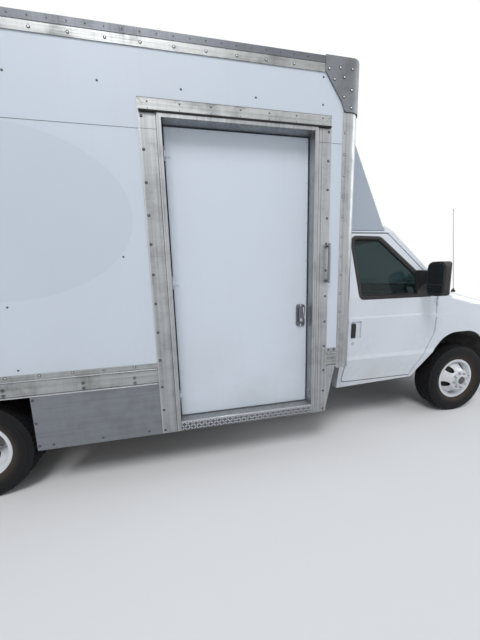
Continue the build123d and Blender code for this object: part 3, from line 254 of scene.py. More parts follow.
def tube(path: Rows, radius: Union[float, Array], sides: int = 10) -> Form:
    """Round tube along a path.

    At each point a circle lies across the path's tangent: point + r (cos a) side + r (sin a) up, where side is the
    tangent crossed with a fixed direction, and up is side crossed with the tangent.

    Args:
        path: points (N, 3).
        radius: one for all, or one for each point.
        sides: points of each circle.

    Returns:
        Wall of quads, and ends of triangles.
    """
    line = np.asarray(path, float)
    ahead = np.roll(line, -1, 0) - np.roll(line, 1, 0)
    ahead[0], ahead[-1] = line[1] - line[0], line[-1] - line[-2]
    ahead /= np.linalg.norm(ahead, axis=1)[:, None]
    fixed = np.eye(3)[int(np.argmin(np.abs(ahead).sum(0)))]
    side = np.cross(ahead, fixed)
    side /= np.linalg.norm(side, axis=1)[:, None]
    up = np.cross(side, ahead)
    a = np.linspace(0, 2 * np.pi, sides, endpoint=False)[None, :, None]
    r = np.broadcast_to(np.asarray(radius, float), (len(line),))[:, None, None]
    form = surface(line[:, None, :] + r * (np.cos(a) * side[:, None, :] + np.sin(a) * up[:, None, :]), closed_v=True)
    n, i = len(form.points), np.arange(sides)
    j, last = np.roll(i, -1), n - sides
    ends = [np.stack([np.full(sides, n), i, j], -1), np.stack([np.full(sides, n + 1), last + j, last + i], -1)]
    return Form(np.vstack([form.points, line[0], line[-1]]), form.quads, np.vstack(ends))


def rounded(points: Rows, steps: int = 6) -> Array:
    """Outline whose corners are arcs.

    An arc of radius r touches both sides at r / tan(t / 2) from the corner, where t is the angle between them, and is
    sampled evenly between the two touching points' directions from its centre.

    Args:
        points: rows of a, b and the corner's radius.
        steps: parts of each arc.

    Returns:
        Points (N, 2).
    """
    out = []
    count = len(points)
    for i, p in enumerate(points):
        here = np.array(p[:2], float)
        back = np.array(points[i - 1][:2]) - here
        ahead = np.array(points[(i + 1) % count][:2]) - here
        back, ahead = back / np.linalg.norm(back), ahead / np.linalg.norm(ahead)
        radius = p[2]
        if radius <= 0:
            out.append(here[None])
            continue
        between = math.acos(np.clip(back @ ahead, -1, 1))
        reach = radius / math.tan(between / 2)
        middle = (back + ahead) / np.linalg.norm(back + ahead)
        centre = here + middle * radius / math.sin(between / 2)
        first, last = here + back * reach - centre, here + ahead * reach - centre
        t = np.linspace(0, 1, steps + 1)[:, None]
        turn = math.acos(np.clip(first @ last / radius ** 2, -1, 1))
        out.append(centre + (np.sin((1 - t) * turn) * first + np.sin(t * turn) * last) / math.sin(turn))
    return np.vstack(out)


def rectangle(a0: float, a1: float, b0: float, b1: float, radius: float, steps: int = 6) -> Array:
    """Anticlockwise rectangle with round corners of one radius."""
    return rounded([(a0, b0, radius), (a1, b0, radius), (a1, b1, radius), (a0, b1, radius)], steps)


def grown(loop: Array, distance: float) -> Array:
    """Move a closed outline outwards, along the mean normal of each point's two sides.

    Args:
        loop: anticlockwise points (N, 2).
        distance: how far; less than 0 moves it inwards.

    Returns:
        The moved points.
    """
    ahead = np.roll(loop, -1, 0) - loop
    ahead /= np.linalg.norm(ahead, axis=1)[:, None] + 1e-12
    normal = np.stack([ahead[:, 1], -ahead[:, 0]], -1)
    both = normal + np.roll(normal, 1, 0)
    both /= np.linalg.norm(both, axis=1)[:, None]
    lift = 1 / np.clip((both * normal).sum(1), 0.5, 1)
    return loop + both * (distance * lift)[:, None]


def band(loop: Array, inner: float, outer: float, place: Placer, depth: float) -> Form:
    """Closed strip that follows an outline on a surface.

    The section's points lie between the outline moved by inner and the outline moved by outer, at 0, 0.7 and 1 of
    the depth, while they draw in by 0, 0.2 and 1 of the inset.

    Args:
        loop: the outline, anticlockwise.
        inner: how far outwards the strip starts.
        outer: how far outwards it ends.
        place: puts the points on the surface.
        depth: how far the strip stands off it.

    Returns:
        The strip.
    """
    inset = min(abs(outer - inner) * 0.25, depth)
    edge = ((0.0, 0.0), (0.2, 0.7), (1.0, 1.0))
    rows = [place(grown(loop, outer - inset * draw), depth * share) for draw, share in edge]
    rows += [place(grown(loop, inner + inset * draw), depth * share) for draw, share in edge[::-1]]
    return surface(np.stack(rows, 1), closed_u=True, closed_v=True)


def flat_y(y: float, origin: float = 0.0, way: float = -1.0) -> Placer:
    """Plane across Y for outlines in X and Z.

    Args:
        y: where the plane lies.
        origin: X from which the outline counts.
        way: -1 lifts towards the truck's right, 1 towards its left.

    Returns:
        The plane's placer.
    """
    def place(points: Array, lift: float) -> Array:
        """Points on the plane."""
        return np.column_stack([origin + points[:, 0], np.full(len(points), y) + way * lift, points[:, 1]])

    return place


def flat_x(x: float) -> Placer:
    """Plane across X that faces backwards, for outlines in distance off the middle plane and height.

    Args:
        x: where the plane lies.

    Returns:
        The plane's placer, for the truck's right half.
    """
    def place(points: Array, lift: float) -> Array:
        """Points on the plane."""
        return np.column_stack([np.full(len(points), x) - lift, -points[:, 0], points[:, 1]])

    return place


def sunk(place: Placer, depth: float) -> Placer:
    """The same surface, deeper.

    Args:
        place: the surface's placer.
        depth: how much deeper.

    Returns:
        The deeper surface's placer.
    """
    def deeper(points: Array, lift: float) -> Array:
        """Points on the deeper surface."""
        return place(points, lift - depth)

    return deeper


Value = Union["Shade", float, Floats]


def operator(operation: str, reflected: bool = False) -> Callable[["Shade", Value], "Shade"]:
    """Operator of Shade that adds a Math node.

    Args:
        operation: the node's operation.
        reflected: the other value comes first.

    Returns:
        The operator's method.
    """
    def method(self: "Shade", other: Value) -> "Shade":
        """Apply the operation.

        Args:
            other: the second value, or the first if reflected.

        Returns:
            The result.
        """
        node = self.graph.add("ShaderNodeMath", {"operation": operation})
        for target, value in zip(node.inputs, (other, self) if reflected else (self, other)):
            self.graph.feed(target, value)
        return Shade(self.graph, node.outputs[0])

    return method


class Shade:
    """A value that varies over a surface: a node's output that can be added, multiplied and so on."""

    def __init__(self, graph: "Graph", socket: Socket) -> None:
        """Hold one output socket of a graph."""
        self.graph = graph
        self.socket = socket

    __add__, __radd__ = operator("ADD"), operator("ADD", True)
    __sub__, __rsub__ = operator("SUBTRACT"), operator("SUBTRACT", True)
    __mul__, __rmul__ = operator("MULTIPLY"), operator("MULTIPLY", True)
    __truediv__, __rtruediv__ = operator("DIVIDE"), operator("DIVIDE", True)
    __pow__, __lt__, __gt__ = operator("POWER"), operator("LESS_THAN"), operator("GREATER_THAN")

    def between(self, low: float, high: float) -> "Shade":
        """Smooth step between two values.

        Args:
            low: gives 0; it may lie above high.
            high: gives 1.

        Returns:
            The step.
        """
        node = self.graph.add("ShaderNodeMapRange", {"interpolation_type": "SMOOTHSTEP"},
                              {"Value": self, "From Min": low, "From Max": high, "To Min": 0.0, "To Max": 1.0})
        return Shade(self.graph, node.outputs[0])


class Graph:
    """A material and its nodes."""

    def __init__(self, name: str, sky: bool = False) -> None:
        """Start with the shader and Object coordinates.

        Args:
            name: of the material.
            sky: make the world's sky instead of a material.
        """
        self.material = (bpy.data.worlds if sky else bpy.data.materials).new(name)
        self.material.use_nodes = True
        self.tree = self.material.node_tree
        self.shader = self.tree.nodes["Background" if sky else "Principled BSDF"]
        self.where = self.add("ShaderNodeTexCoord").outputs["Object"]

    def add(self, kind: str, settings: Optional[dict] = None, values: Optional[dict] = None) -> bpy.types.Node:
        """Add a node.

        Args:
            kind: Blender's name of the node's type.
            settings: its properties.
            values: its inputs by name, each a number, a colour, a socket or a Shade.

        Returns:
            The node.
        """
        node = self.tree.nodes.new(kind)
        for key, value in (settings or {}).items():
            setattr(node, key, value)
        for key, value in (values or {}).items():
            self.feed(node.inputs[key], value)
        return node

    def feed(self, target: Socket, value: Union[Value, Socket]) -> None:
        """Link a socket or Shade to an input, or set the input's own value.

        Args:
            target: the input.
            value: what it gets; a colour may have three values.
        """
        if isinstance(value, Shade):
            self.tree.links.new(value.socket, target)
        elif isinstance(value, Socket):
            self.tree.links.new(value, target)
        elif hasattr(target.default_value, "__len__") and len(target.default_value) == 4 and not np.isscalar(value):
            target.default_value = (*value[:3], 1.0)
        else:
            target.default_value = value

    def axis(self, name: str) -> Shade:
        """One coordinate of the surface point: X, Y or Z."""
        node = self.add("ShaderNodeSeparateXYZ", None, {"Vector": self.where})
        return Shade(self, node.outputs[name])

    def noise(self, scale: float, detail: float = 4.0, stretch: Floats = (1, 1, 1)) -> Shade:
        """Noise from 0 to 1.

        Args:
            scale: how fine it is.
            detail: its layers.
            stretch: scale along each axis; a small one draws the noise out that way.

        Returns:
            The noise.
        """
        node = self.add("ShaderNodeMapping", None, {"Vector": self.where, "Scale": tuple(stretch)})
        made = self.add("ShaderNodeTexNoise", None,
                        {"Vector": node.outputs[0], "Scale": scale, "Detail": detail, "Roughness": 0.55})
        return Shade(self, made.outputs[0])

    def cells(self, scale: float) -> Shade:
        """Distance to the nearest of scattered points, for specks and pits."""
        made = self.add("ShaderNodeTexVoronoi", None, {"Vector": self.where, "Scale": scale})
        return Shade(self, made.outputs["Distance"])

    def wave(self, axis: str, scale: float) -> Shade:
        """Waves along an axis, for ribs and threads."""
        made = self.add("ShaderNodeTexWave", {"bands_direction": axis}, {"Vector": self.where, "Scale": scale})
        return Shade(self, made.outputs[1])

    def mix(self, factor: Value, first: Union[Value, Socket], second: Value) -> Socket:
        """Colour between two others.

        Args:
            factor: 0 gives the first and 1 the second.
            first: colour or socket.
            second: colour or socket.

        Returns:
            The mixed colour's socket.
        """
        node = self.add("ShaderNodeMix", {"data_type": "RGBA"})
        self.feed(node.inputs["Factor"], factor)
        self.feed(node.inputs[6], first)
        self.feed(node.inputs[7], second)
        return node.outputs[2]

    def bump(self, height: Shade, distance: float, strength: float = 1.0) -> None:
        """Raise the shader's surface by a height field, and stack on any bump already there.

        Args:
            height: the field, from 0 to 1.
            distance: metres that a height of 1 stands for.
            strength: share of the bump that shows.
        """
        node = self.add("ShaderNodeBump", None, {"Height": height, "Distance": distance, "Strength": strength})
        there = self.shader.inputs["Normal"]
        if there.is_linked:
            self.tree.links.new(there.links[0].from_socket, node.inputs["Normal"])
        self.tree.links.new(node.outputs[0], there)

    def backdrop(self) -> Shade:
        """Mask of the rays that see the backdrop.

        Returns:
            1 for rays from the camera, off gloss and through glass, and 0 for rays of light.
        """
        path = self.add("ShaderNodeLightPath")
        rays = [Shade(self, path.outputs[f"Is {kind} Ray"]) for kind in ("Camera", "Glossy", "Transmission")]
        return rays[0] + rays[1] + rays[2]

    def cover(self, shader: bpy.types.Node, factor: Shade) -> None:
        """Lay a second shader over the first.

        Args:
            shader: the second shader.
            factor: its share.
        """
        output = next(n for n in self.tree.nodes if n.bl_idname.startswith("ShaderNodeOutput"))
        both = self.add("ShaderNodeMixShader")
        self.feed(both.inputs[0], factor)
        self.tree.links.new(self.shader.outputs[0], both.inputs[1])
        self.tree.links.new(shader.outputs[0], both.inputs[2])
        self.tree.links.new(both.outputs[0], output.inputs[0])

    def done(self, **inputs: Union[Value, Socket]) -> Material:
        """Feed the shader.

        Args:
            **inputs: what its inputs get, each named with underscores for spaces.

        Returns:
            The material.
        """
        for key, value in inputs.items():
            self.feed(self.shader.inputs[key.replace("_", " ")], value)
        return self.material


@dataclass(frozen=True)
class Paint:
    """Weathered sheet paint.

    Attributes:
        colour: clean paint.
        grime: road film and streaks.
        roughness: of clean paint.
        coat: clear coat weight.
        film: strength of the grime.
        wave: bump of the panel in metres.
    """

    name: str
    colour: Floats
    grime: Floats = (0.42, 0.40, 0.37)
    roughness: float = 0.32
    coat: float = 0.4
    film: float = 0.25
    wave: float = 0.0004

    def base(self) -> tuple[Graph, Socket, Shade]:
        """Paint under streaks, clouds of road film that thicken towards the ground, and specks.

        Returns:
            The graph, the paint's colour and its grime mask.
        """
        g = Graph(self.name)
        streaks = g.noise(1.0, 6, (26, 26, 1.1)).between(0.52, 0.78)
        clouds = g.noise(1.6, 5).between(0.35, 0.75)
        low = g.axis("Z").between(1.25, 0.35)
        grime = (streaks * 0.16 + clouds * 0.16 + low * clouds * 1.1 + 0.02) * self.film
        specks = g.cells(60).between(0.10, 0.04) * g.noise(5, 3).between(0.55, 0.75) * self.film
        g.bump(g.noise(2.3, 2), self.wave)
        g.bump(g.noise(420, 2), 0.00004)
        return g, g.mix(grime + specks * 0.6, self.colour, self.grime), grime

    def make(self) -> Material:
        """Material of the paint.

        Returns:
            The material.
        """
        g, colour, grime = self.base()
        return g.done(Base_Color=colour, Roughness=grime * 0.8 + self.roughness, Coat_Weight=self.coat,
                      Coat_Roughness=0.08)


@dataclass(frozen=True)
class PanelPaint(Paint):
    """Body paint that also shows the faint oval patch on the right wall.

    Attributes:
        centre: X and Z of the oval.
        half: its half axes.
        side: Y of the wall that shows it.
        tint: the oval's share of the paint's colour.
    """

    centre: Floats = (0.0, 0.0)
    half: Floats = (1.0, 1.0)
    side: float = 0.0
    tint: Floats = (0.915, 0.915, 0.925)

    def make(self) -> Material:
        """Material of the paint with its oval: inside where (x / a)^2 + (z / b)^2 is below 1.

        Returns:
            The material.
        """
        g, colour, grime = self.base()
        across = (g.axis("X") - self.centre[0]) / self.half[0]
        up = (g.axis("Z") - self.centre[1]) / self.half[1]
        inside = (across * across + up * up).between(1.012, 0.988) * g.axis("Y").between(self.side + 0.02, self.side)
        worn = g.noise(3.0, 5).between(0.2, 0.8) * 0.25 + 0.75
        patch = tuple(share * value for share, value in zip(self.tint, self.colour))
        shade = g.mix(inside * worn * 0.85, colour, patch)
        return g.done(Base_Color=shade, Roughness=grime * 0.8 + self.roughness + inside * 0.12, Coat_Weight=self.coat,
                      Coat_Roughness=0.12)


@dataclass(frozen=True)
class Metal:
    """Bare metal with scratches, smudges and pits.

    Attributes:
        colour: clean metal.
        stain: smudges.
        roughness: middle value.
        scratch: bump of the scratches in metres.
        stains: share of the surface that is smudged.
        draw: strength of the dark lines left by drawing and brushing.
        run: noise scales along X, Y and Z; the small one is the way in which the lines run.
    """

    name: str
    colour: Floats
    stain: Floats = (0.22, 0.22, 0.22)
    roughness: float = 0.36
    scratch: float = 0.00012
    stains: float = 0.35
    draw: float = 0.0
    run: Floats = (240.0, 240.0, 2.4)

    def make(self) -> Material:
        """Material of the metal.

        Returns:
            The material.
        """
        g = Graph(self.name)
        along = g.noise(1.0, 5, self.run).between(0.35, 0.7)
        wide = g.noise(1.0, 4, [v * 0.2 for v in self.run]).between(0.40, 0.66)
        across = g.noise(1.0, 5, self.run[::-1]).between(0.45, 0.75)
        smudge = g.noise(7, 6).between(0.42, 0.72) * self.stains
        pits = g.cells(150).between(0.16, 0.05) * g.noise(14, 3).between(0.5, 0.7)
        lines = (wide * 0.6 + along * 0.3 + across * 0.25) * self.draw
        tone = g.mix(smudge + lines + pits * 0.4, self.colour, self.stain)
        g.bump(along + across, self.scratch)
        return g.done(Base_Color=tone, Metallic=1.0 - smudge * 0.5,
                      Roughness=along * 0.12 + across * 0.08 + smudge * 0.35 + self.roughness - 0.08)


@dataclass(frozen=True)
class Coated:
    """Chassis paint, iron, rubber or grained plastic under dust.

    Attributes:
        grain: size of the surface grain, as a noise scale.
        relief: bump of the grain in metres.
        dust: strength of the dust.
    """

    name: str
    colour: Floats
    dust_colour: Floats = (0.26, 0.23, 0.2)
    roughness: float = 0.6
    grain: float = 300.0
    relief: float = 0.00012
    dust: float = 0.3

    def make(self) -> Material:
        """Material of the coating.

        Returns:
            The material.
        """
        g = Graph(self.name)
        patches = g.noise(6, 6).between(0.4, 0.75)
        fine = g.noise(self.grain, 3)
        g.bump(fine, self.relief)
        g.bump(g.noise(22, 4), self.relief * 2)
        tone = g.mix(patches * self.dust + fine * 0.06, self.colour, self.dust_colour)
        return g.done(Base_Color=tone, Roughness=patches * 0.2 + self.roughness, Specular_IOR_Level=0.25)


@dataclass(frozen=True)
class WheelFinish:
    """Finish that changes with the distance from a wheel's axis: rust at the hub or dirt near the rim.

    Attributes:
        inner: colour near the axis.
        middle: X and Z of the wheel's axis.
        reach: distances between which the inner colour fades out.
        strength: of the inner colour.
        coat: clear coat weight.
        relief: bump of the surface in metres.
        hollow: rows of offset, radius and slope that bound the wheel's inner side, which is painted near black as shade
            behind the disc, with some brake dust.
        specular: strength of the gloss.
    """

    name: str
    colour: Floats
    inner: Floats
    middle: Floats
    reach: Floats
    strength: float = 0.8
    roughness: float = 0.5
    coat: float = 0.0
    relief: float = 0.0002
    hollow: Rows = ()
    specular: float = 0.5

    def make(self) -> Material:
        """Material whose mask is a smooth step on the distance sqrt(x^2 + z^2) from the axis, broken by noise.

        The wheel's inner side is painted near black, as shade with some brake dust, where the distance lies below
        radius - slope (|y| - offset) for every row of its bounds.

        Returns:
            The material.
        """
        g = Graph(self.name)
        x, z = g.axis("X") - self.middle[0], g.axis("Z") - self.middle[1]
        away = (x * x + z * z) ** 0.5
        broken = away + (g.noise(28, 5) - 0.5) * 0.03
        near = broken.between(self.reach[1], self.reach[0]) * self.strength
        spots = g.noise(60, 5).between(0.58, 0.75) * 0.35
        tone = g.mix(near + spots * (near + 0.12), self.colour, self.inner)
        out = (g.axis("Y") ** 2) ** 0.5
        # inside these bounds the colour turns near black: painted shade inside the wheel, with some brake dust
        inside = [(away < radius - (out - offset) * slope) for offset, radius, slope in self.hollow]
        if inside:
            tone = g.mix(math.prod(inside[1:], start=inside[0]), tone, (0.012, 0.011, 0.010))
        g.bump(g.noise(120, 4), self.relief)
        return g.done(Base_Color=tone, Roughness=near * 0.3 + self.roughness, Coat_Weight=self.coat,
                      Specular_IOR_Level=self.specular)


@dataclass(frozen=True)
class Clear:
    """Glass or a lamp lens."""

    name: str
    colour: Floats
    transmission: float = 0.9
    roughness: float = 0.02

    def make(self) -> Material:
        """Material with a faint film of dust in its roughness.

        Returns:
            The material.
        """
        g = Graph(self.name)
        film = g.noise(9, 5).between(0.45, 0.8) * 0.05
        tone = g.mix(film * 2, self.colour, (0.5, 0.5, 0.5))
        return g.done(Base_Color=tone, Roughness=film + self.roughness, Transmission_Weight=self.transmission, IOR=1.3)


@dataclass(frozen=True)
class LampLens:
    """Marker lens whose colour depends on which end of the truck it is on."""

    name: str
    front: Floats
    rear: Floats
    split: float

    def make(self) -> Material:
        """Material with the front colour ahead of the split and the rear colour behind it, over fine ribs.

        Returns:
            The material.
        """
        g = Graph(self.name)
        tone = g.mix(g.axis("X") > self.split, self.rear, self.front)
        g.bump(g.wave("Y", 60.0), 0.0006)
        dust = g.noise(30, 4).between(0.5, 0.8) * 0.1
        return g.done(Base_Color=g.mix(dust, tone, (0.3, 0.28, 0.26)), Roughness=dust + 0.12, Coat_Weight=0.6)


@dataclass(frozen=True)
class HeadLamp:
    """Headlamp: a bright bowl round the bulb, and the amber turn lamp at the outer end.

    Attributes:
        centre: Y and Z of the bulb.
        bowl: radius of the bowl.
        split: Y at which the turn lamp starts.
    """

    name: str
    centre: Floats
    bowl: float = 0.092
    split: float = 0.800
    dark: Floats = (0.20, 0.21, 0.22)
    bright: Floats = (0.72, 0.74, 0.76)
    amber: Floats = (0.70, 0.24, 0.03)

    def make(self) -> Material:
        """Material whose zones follow the distance from the bulb; the sides mirror each other by the size of y.

        Returns:
            The material.
        """
        g = Graph(self.name)
        out, up = (g.axis("Y") ** 2) ** 0.5, g.axis("Z") - self.centre[1]
        across = out - self.centre[0]
        away = (across * across + up * up) ** 0.5
        bowl, bulb = away.between(self.bowl, self.bowl - 0.006), away.between(0.026, 0.018)
        tone = g.mix(bowl * (1.0 - bulb * 0.6), self.dark, self.bright)
        tone = g.mix(out > self.split, tone, self.amber)
        g.bump(g.wave("Y", 26.0), 0.0008)
        dust = g.noise(24, 4).between(0.5, 0.8) * 0.12
        return g.done(Base_Color=g.mix(dust, tone, (0.4, 0.38, 0.35)), Roughness=dust + 0.1, Metallic=bowl * 0.6,
                      Coat_Weight=1.0)


@dataclass(frozen=True)
class Cloth:
    """Woven seat cloth: two crossed wave patterns."""

    name: str
    colour: Floats
    thread: float = 420.0

    def make(self) -> Material:
        """Material of the weave: the product of waves along X and along Y, with a little wear.

        Returns:
            The material.
        """
        g = Graph(self.name)
        weave = g.wave("X", self.thread / 6) * g.wave("Y", self.thread / 6)
        g.bump(weave, 0.0006)
        worn = g.noise(5, 5).between(0.45, 0.8) * 0.35
        tone = g.mix(weave * 0.5 + worn, self.colour, tuple(c * 1.9 for c in self.colour))
        return g.done(Base_Color=tone, Roughness=worn * 0.1 + 0.85, Sheen_Weight=0.4)


@dataclass(frozen=True)
class Boards:
    """Hardwood floor of narrow strips along the truck."""

    name: str
    colour: Floats
    dark: Floats
    width: float = 0.035

    def make(self) -> Material:
        """Material of strips: the fraction of y / width marks the joints, and grain runs along X.

        Returns:
            The material.
        """
        g = Graph(self.name)
        share = g.add("ShaderNodeMath", {"operation": "FRACT"})
        g.feed(share.inputs[0], g.axis("Y") / self.width)
        joint = Shade(g, share.outputs[0]).between(0.07, 0.0)
        grain = g.noise(1.0, 7, (4, 90, 40)).between(0.3, 0.75)
        dirt = g.noise(3, 5).between(0.45, 0.8) * 0.4
        g.bump(1.0 - joint, 0.001)
        tone = g.mix(grain * 0.5 + dirt + joint * 0.7, self.colour, self.dark)
        return g.done(Base_Color=tone, Roughness=dirt * 0.3 + 0.5)


class Palette:
    """Every finish by name, made once each."""

    def __init__(self, layout: "Layout") -> None:
        """Make the finishes.

        Args:
            layout: gives the wheels' axes and the oval's place.
        """
        front, rear = (layout.axle_x, layout.axle_z), (layout.rear_x, layout.axle_z)
        rubber, brown = (0.011, 0.011, 0.012), (0.10, 0.075, 0.06)
        rust, white, amber = (0.13, 0.06, 0.03), (0.72, 0.74, 0.77), (0.75, 0.27, 0.02)
        lengthwise = (2.4, 240.0, 240.0)
        finishes = [
            # the white paints below are tinted blue and darkened: painted shade from the blue sky
            PanelPaint("body_paint", (0.64, 0.70, 0.78), film=0.36, roughness=0.48, coat=0.04,
                       centre=(layout.at(-4.13), 2.01), half=(0.87, 0.56), side=-layout.half_width),
            Paint("door_paint", (0.68, 0.74, 0.82), film=0.26, roughness=0.42, coat=0.12),
            Paint("cab_paint", (0.69, 0.73, 0.79), film=0.24, roughness=0.2, coat=0.8, wave=0.0001),
            # the fairing's white paint is darkened to blue grey: painted shade
            Paint("fairing_paint", (0.38, 0.43, 0.50), film=0.35, roughness=0.42, coat=0.1),
            Metal("mill_aluminium", (0.44, 0.455, 0.47), (0.17, 0.175, 0.18), 0.42, stains=0.3, draw=0.5),
            Metal("rail_aluminium", (0.44, 0.455, 0.46), (0.17, 0.175, 0.17), 0.5, stains=0.4, draw=0.6,
                  run=lengthwise),
            Metal("dull_aluminium", (0.25, 0.265, 0.29), (0.13, 0.135, 0.14), 0.45, stains=0.25, draw=0.25,
                  run=lengthwise),
            Metal("cap_casting", (0.20, 0.215, 0.235), (0.1, 0.1, 0.1), 0.52, stains=0.35),
            Metal("edge_trim", (0.15, 0.16, 0.18), (0.08, 0.08, 0.08), 0.5, stains=0.3),
            Metal("bright_steel", (0.74, 0.75, 0.77), roughness=0.16, scratch=0.00003, stains=0.1),
            Metal("galvanized", (0.48, 0.49, 0.51), roughness=0.45, stains=0.4),
            Metal("rivet_metal", (0.55, 0.56, 0.58), roughness=0.3, stains=0.1),
            Metal("handle_steel", (0.16, 0.17, 0.19), (0.07, 0.07, 0.08), 0.28, stains=0.4),
            Metal("exhaust_steel", (0.30, 0.26, 0.23), (0.14, 0.08, 0.05), 0.55, stains=0.7),
            Metal("engine_iron", (0.20, 0.20, 0.21), (0.1, 0.08, 0.06), 0.6, stains=0.6),
            Coated("chassis_black", (0.025, 0.025, 0.026), roughness=0.55, dust=0.35),
            Coated("black_plastic", (0.022, 0.022, 0.024), roughness=0.5, dust=0.06, grain=700),
            Coated("seal_rubber", (0.012, 0.012, 0.013), roughness=0.7, dust=0.05),
            Coated("dash_plastic", (0.09, 0.09, 0.095), roughness=0.6, dust=0.05, grain=600),
            Coated("grey_trim", (0.28, 0.28, 0.28), roughness=0.6, dust=0.1, grain=600),
            Clear("clear_glass", (0.13, 0.19, 0.20), transmission=0.95),
            HeadLamp("headlamp_lens", (0.690, 0.985)),
            Metal("mirror_glass", (0.30, 0.34, 0.38), roughness=0.06, scratch=0.0, stains=0.03),
            LampLens("lamp_lens", (0.75, 0.26, 0.02), (0.5, 0.015, 0.012), 0.0),
            LampLens("amber_lens", amber, amber, 0.0),
            Cloth("seat_cloth", (0.13, 0.13, 0.14)),
            Boards("floor_wood", (0.42, 0.29, 0.17), (0.16, 0.10, 0.06)),
            WheelFinish("front_rubber", rubber, brown, front, (0.22, 0.30), 0.55, 0.75, specular=0.2),
            WheelFinish("rear_rubber", rubber, brown, rear, (0.22, 0.30), 0.5, 0.75, specular=0.2),
            # the last rows of both wheel paints bound their insides, which are painted near black: shade with some
            # brake dust
            WheelFinish("front_wheel_paint", white, rust, front, (0.040, 0.062), 0.55, 0.3, 0.4,
                        hollow=((0.910, 0.1775, 0.6908), (0.986, 0.125, 0.769), (1.012, 0.0, 1000.0))),
            WheelFinish("rear_wheel_paint", white, rust, rear, (0.07, 0.14), 0.7, 0.4, 0.3,
                        hollow=((0.955, 0.0, 1000.0),)),
            Coated("rusty_hub", (0.10, 0.045, 0.022), dust_colour=(0.02, 0.015, 0.012), roughness=0.85, dust=0.7,
                   relief=0.0006, grain=120),
        ]
        self.made = {f.name: f.make() for f in finishes}

    def __getitem__(self, name: str) -> Material:
        """Material of a finish."""
        return self.made[name]


class Side(Enum):
    """Sides of the truck, with the sign of their Y."""

    RIGHT = -1
    LEFT = 1

    @property
    def suffix(self) -> str:
        """Ending of the names of this side's nodes and bodies."""
        return self.name.lower()

    def of(self, right: Form) -> Form:
        """A right form, or its mirror image on the left side."""
        return right if self is Side.RIGHT else right.other_side()


def middle(node: str, axis: int) -> float:
    """Middle of a CAD node along an axis."""
    low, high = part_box(node)
    return (low[axis] + high[axis]) / 2


class Layout:
    """Places read from the frame."""

    def __init__(self) -> None:
        """Measure the CAD nodes."""
        self.axle_x = middle("front_tyre_right", 0)
        self.rear_x = middle("rear_tyres_right", 0)
        self.axle_z = middle("front_tyre_right", 2)
        self.tyre_r = self.axle_z
        self.half_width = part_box("box_side_left")[1].y
        self.body_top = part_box("top_rails")[1].z

    def at(self, x: float) -> float:
        """Station counted from the front axle, in the row frame."""
        return self.axle_x + x


class Workshop:
    """Makes objects of forms, gives them their finish and lets them ride."""

    def __init__(self, layout: Layout, palette: Palette) -> None:
        """Keep the layout and the palette."""
        self.layout = layout
        self.palette = palette

    def make(self, name: str, form: Form, finish: str, body: str = "root", slot: Optional[str] = None,
             smooth: float = SHARP) -> bpy.types.Object:
        """Make one object.

        Args:
            name: the object's name.
            form: its mesh in the row frame.
            finish: name of a finish.
            body: the CAD body it moves with.
            slot: not used.
            smooth: edges sharper than this many degrees stay sharp.

        Returns:
            The object.
        """
        mesh = bpy.data.meshes.new(name)
        mesh.from_pydata(form.points, [], form.quads.tolist() + form.tris.tolist())
        mesh.validate()
        mesh.polygons.foreach_set("use_smooth", np.ones(len(mesh.polygons), bool))
        mesh.set_sharp_from_angle(angle=math.radians(smooth))
        mesh.materials.append(self.palette[finish])
        thing = bpy.data.objects.new(name, mesh)
        bpy.context.scene.collection.objects.link(thing)
        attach(thing, body)
        slot or finish
        log.info("%s: %d faces on %s", name, len(mesh.polygons), body)
        return thing

    def rivets(self, name: str, rows: Sequence[tuple], body: str = "root", mirror: bool = False,
               heads: str = "rivet_metal") -> None:
        """Make rivet heads and the dark rings round them, which paint each head's shadow.

        Args:
            name: of the heads; the rings of painted shadow add an ending to it.
            rows: groups of (places, direction, radius).
            body: the CAD body they move with.
            mirror: make them on the other side of the truck.
            heads: finish of the heads.
        """
        for ending, shape, finish in (("", dome, heads), ("_grime", grime_ring, "seal_rubber")):
            form = joined([facing(shape(radius), direction).repeated(places) for places, direction, radius in rows])
            self.make(name + ending, form.other_side() if mirror else form, finish, body, "mill_aluminium")

    def dress(self, finish: str, *nodes: str) -> None:
        """Give CAD nodes a finish.

        Args:
            finish: its name.
            *nodes: the nodes' names.
        """
        for node in nodes:
            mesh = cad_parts[node].data
            mesh.materials.clear()
            mesh.materials.append(self.palette[finish])


def row(start: float, end: float, count: int) -> Array:
    """Evenly spaced values from start to end."""
    return np.linspace(start, end, count)


def spots(*coordinates: Union[float, Floats]) -> Array:
    """Points (N, 3) from their X, Y and Z, of which any may be one number for all."""
    return np.stack(np.broadcast_arrays(*(np.atleast_1d(np.asarray(v, float)) for v in coordinates)), -1)


def facing(form: Form, direction: str) -> Form:
    """Turn a form that points to +Z so that it points along an axis such as -Y."""
    turns = {"+Z": ("X", 0), "-Z": ("X", 180), "-Y": ("X", 90), "+Y": ("X", -90), "+X": ("Y", 90), "-X": ("Y", -90)}
    return form.turned(*turns[direction])


def dome(radius: float) -> Form:
    """Rivet head: r cos t across and h sin t up, for t from 0 to a right angle.

    Args:
        radius: r; the height h is 0.65 of it.

    Returns:
        The head, open below.
    """
    t = np.linspace(0, np.pi / 2, 4)
    profile = np.column_stack([radius * np.cos(t), radius * 0.65 * np.sin(t)])
    profile[-1, 0] = 0
    return lathe([(radius, -0.0005), *profile.tolist()], 10)


def grime_ring(radius: float) -> Form:
    """Thin dark disc under a rivet head, half as wide again, that paints the head's shadow."""
    return lathe([(radius * 1.5, -0.0004), (radius * 1.5, 0.0003), (0.0, 0.0005)], 12)


